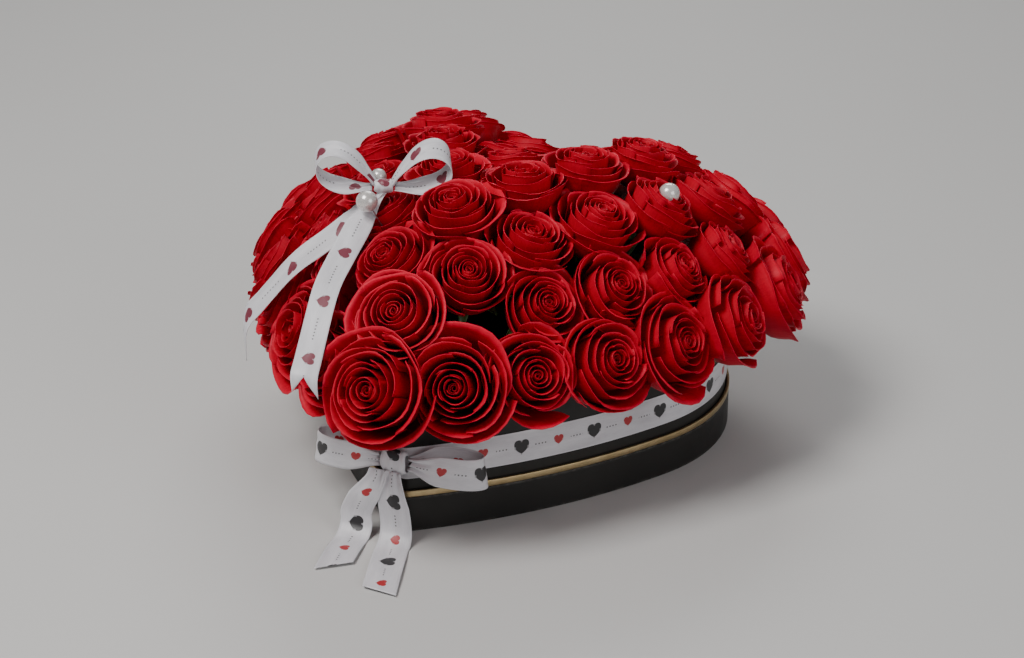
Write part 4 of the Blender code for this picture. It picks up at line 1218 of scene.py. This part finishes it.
def make_pearl(name, node, body, matrix, size):
    """A bead with a small drilled hole and a flat-headed pin through it."""
    bead = size / 2
    turns = [math.pi * (PEARL_HOLE + (1 - 2 * PEARL_HOLE) * i / (PEARL_ROWS - 1)) for i in range(PEARL_ROWS)]
    profile = [(bead * math.sin(turn), -bead * math.cos(turn), 0) for turn in turns]
    hole_r, hole_z = profile[-1][:2]
    profile.append((hole_r * 0.72, hole_z - 0.0003, 0))
    profile += [(hole_r * 0.66, hole_z + 0.0002, 1), (hole_r * 0.40, hole_z + 0.0005, 1)]
    foot = -bead - PIN_LENGTH
    pin = [(PIN_RADIUS * 0.15, foot, 1), (PIN_RADIUS, foot + 0.0015, 1), (PIN_RADIUS, profile[0][1], 1)]
    profile = pin + profile
    points = [matrix @ Vector(place) for place in turned([(r, z) for r, z, _ in profile], PEARL_SIDES)]
    faces = ring_faces(len(profile), PEARL_SIDES) + [*end_faces(len(profile), PEARL_SIDES)]
    of_wire = [below[2] and above[2] for below, above in zip(profile, profile[1:])]
    kinds = [*np.repeat(of_wire, PEARL_SIDES), 1, 1]
    obj = make(name, points, faces, [pearl, wire], indices=kinds, sharp=45)
    stand_for(obj, body, "pearl", node)


loop_width = TOP_RIBBON_WIDTH * 0.8  # as the part has it
for name, size, aside, side in (("large", LARGE_PEARL, -0.012, -1), ("small", SMALL_PEARL, -0.004, 1)):
    clear = side * (loop_width / 2 + size / 2 + 0.001)
    matrix = bow_frame @ Matrix.Translation((TOP_KNOT_ASIDE + aside, clear, knot_height + 0.002))
    make_pearl(f"pearl_{name}", f"{name}_pearl_pin", f"{name}_pearl", matrix, size)
lone = nearest_rose(LONE_PEARL_PLACE)
lone_frame = axis_frame(HEADS[lone], AXES[lone])
matrix = lone_frame @ Matrix.Translation((0.001, -0.003, HEAD_CROWN * RADII[lone] + 0.002))
make_pearl("pearl_lone", "lone_pearl_pin", "lone_pearl", matrix, LARGE_PEARL)

# ---- camera, floor and light ----


def plain(name, colour, roughness):
    t = Tree(name, (0.0, 0.0, 0.0), roughness, Specular_IOR_Level=0.3)
    cloud = t.noise(t.place(), 3.0, 3.0)
    t.put("Base Color", t.mix(cloud, colour, tuple(c * 0.96 for c in colour)))
    return t.material


VIEW_TURN, VIEW_RISE = math.radians(23.84), math.radians(24.5)
VIEW_AWAY = 1.8
VIEW_TARGET = 0.0182, -0.0126, 0.10
FOCAL_LENGTH_IN_WIDTHS = 2358 / 1024
SENSOR_WIDTH = 36.0
FLOOR_REACH = 9.0
FLOOR_ENDS = 5.0
FLOOR_CURVE = 2.0
FLOOR_BELOW = 0.0002


def add_floor():
    """A floor that curves up into a backdrop, far behind the box as the camera sees it."""
    rows = [(-FLOOR_REACH, 0.0), (FLOOR_ENDS, 0.0)]
    for a in np.linspace(0.1, math.pi / 2, 14):
        rows.append((FLOOR_ENDS + FLOOR_CURVE * math.sin(a), FLOOR_CURVE - FLOOR_CURVE * math.cos(a)))
    rows.append((FLOOR_ENDS + FLOOR_CURVE, FLOOR_REACH))
    turn, sides = Matrix.Rotation(VIEW_TURN, 3, "Z"), (-FLOOR_REACH, FLOOR_REACH)
    points = [turn @ Vector((x, y, z - FLOOR_BELOW)) for y, z in rows for x in sides]
    faces = [(2 * i, 2 * i + 1, 2 * i + 3, 2 * i + 2) for i in range(len(rows) - 1)]
    floor = make("floor", points, faces, [plain("pale floor", (0.60, 0.59, 0.575), 0.6)])


def add_camera():
    """The photo's own view, as near as it could be worked out."""
    turn, rise = VIEW_TURN, VIEW_RISE
    back = Vector((math.sin(turn) * math.cos(rise), -math.cos(turn) * math.cos(rise), math.sin(rise)))
    data = bpy.data.cameras.new("camera")
    data.sensor_width = SENSOR_WIDTH
    data.lens = FOCAL_LENGTH_IN_WIDTHS * SENSOR_WIDTH
    data.clip_start, data.clip_end = 0.05, 50.0
    camera = bpy.data.objects.new("camera", data)
    camera.location = Vector(VIEW_TARGET) + back * VIEW_AWAY
    camera.rotation_mode = "QUATERNION"
    camera.rotation_quaternion = (-back).to_track_quat("-Z", "Y")
    bpy.context.scene.collection.objects.link(camera)
    bpy.context.scene.camera = camera


def add_light(name, place, size, power, colour=(1.0, 1.0, 1.0)):
    data = bpy.data.lights.new(name, "AREA")
    data.shape = "RECTANGLE"
    data.size, data.size_y = size
    data.energy = power
    data.color = colour
    obj = bpy.data.objects.new(name, data)
    obj.location = place
    obj.rotation_mode = "QUATERNION"
    obj.rotation_quaternion = (Vector((0.0, 0.0, 0.1)) - Vector(place)).to_track_quat("-Z", "Y")
    bpy.context.scene.collection.objects.link(obj)


add_floor()
add_camera()
add_light("key", (-0.6, -1.1, 2.0), (0.9, 0.9), 44.0, (1.0, 0.985, 0.97))
add_light("fill", (1.9, -0.9, 1.0), (1.2, 1.2), 12.0, (0.97, 0.98, 1.0))
add_light("back", (-0.6, 1.7, 1.6), (1.2, 0.8), 16.0)
world = bpy.data.worlds.new("studio")
world.use_nodes = True
world.node_tree.nodes["Background"].inputs[0].default_value = (0.80, 0.82, 0.85, 1.0)
world.node_tree.nodes["Background"].inputs[1].default_value = 0.26
bpy.context.scene.world = world
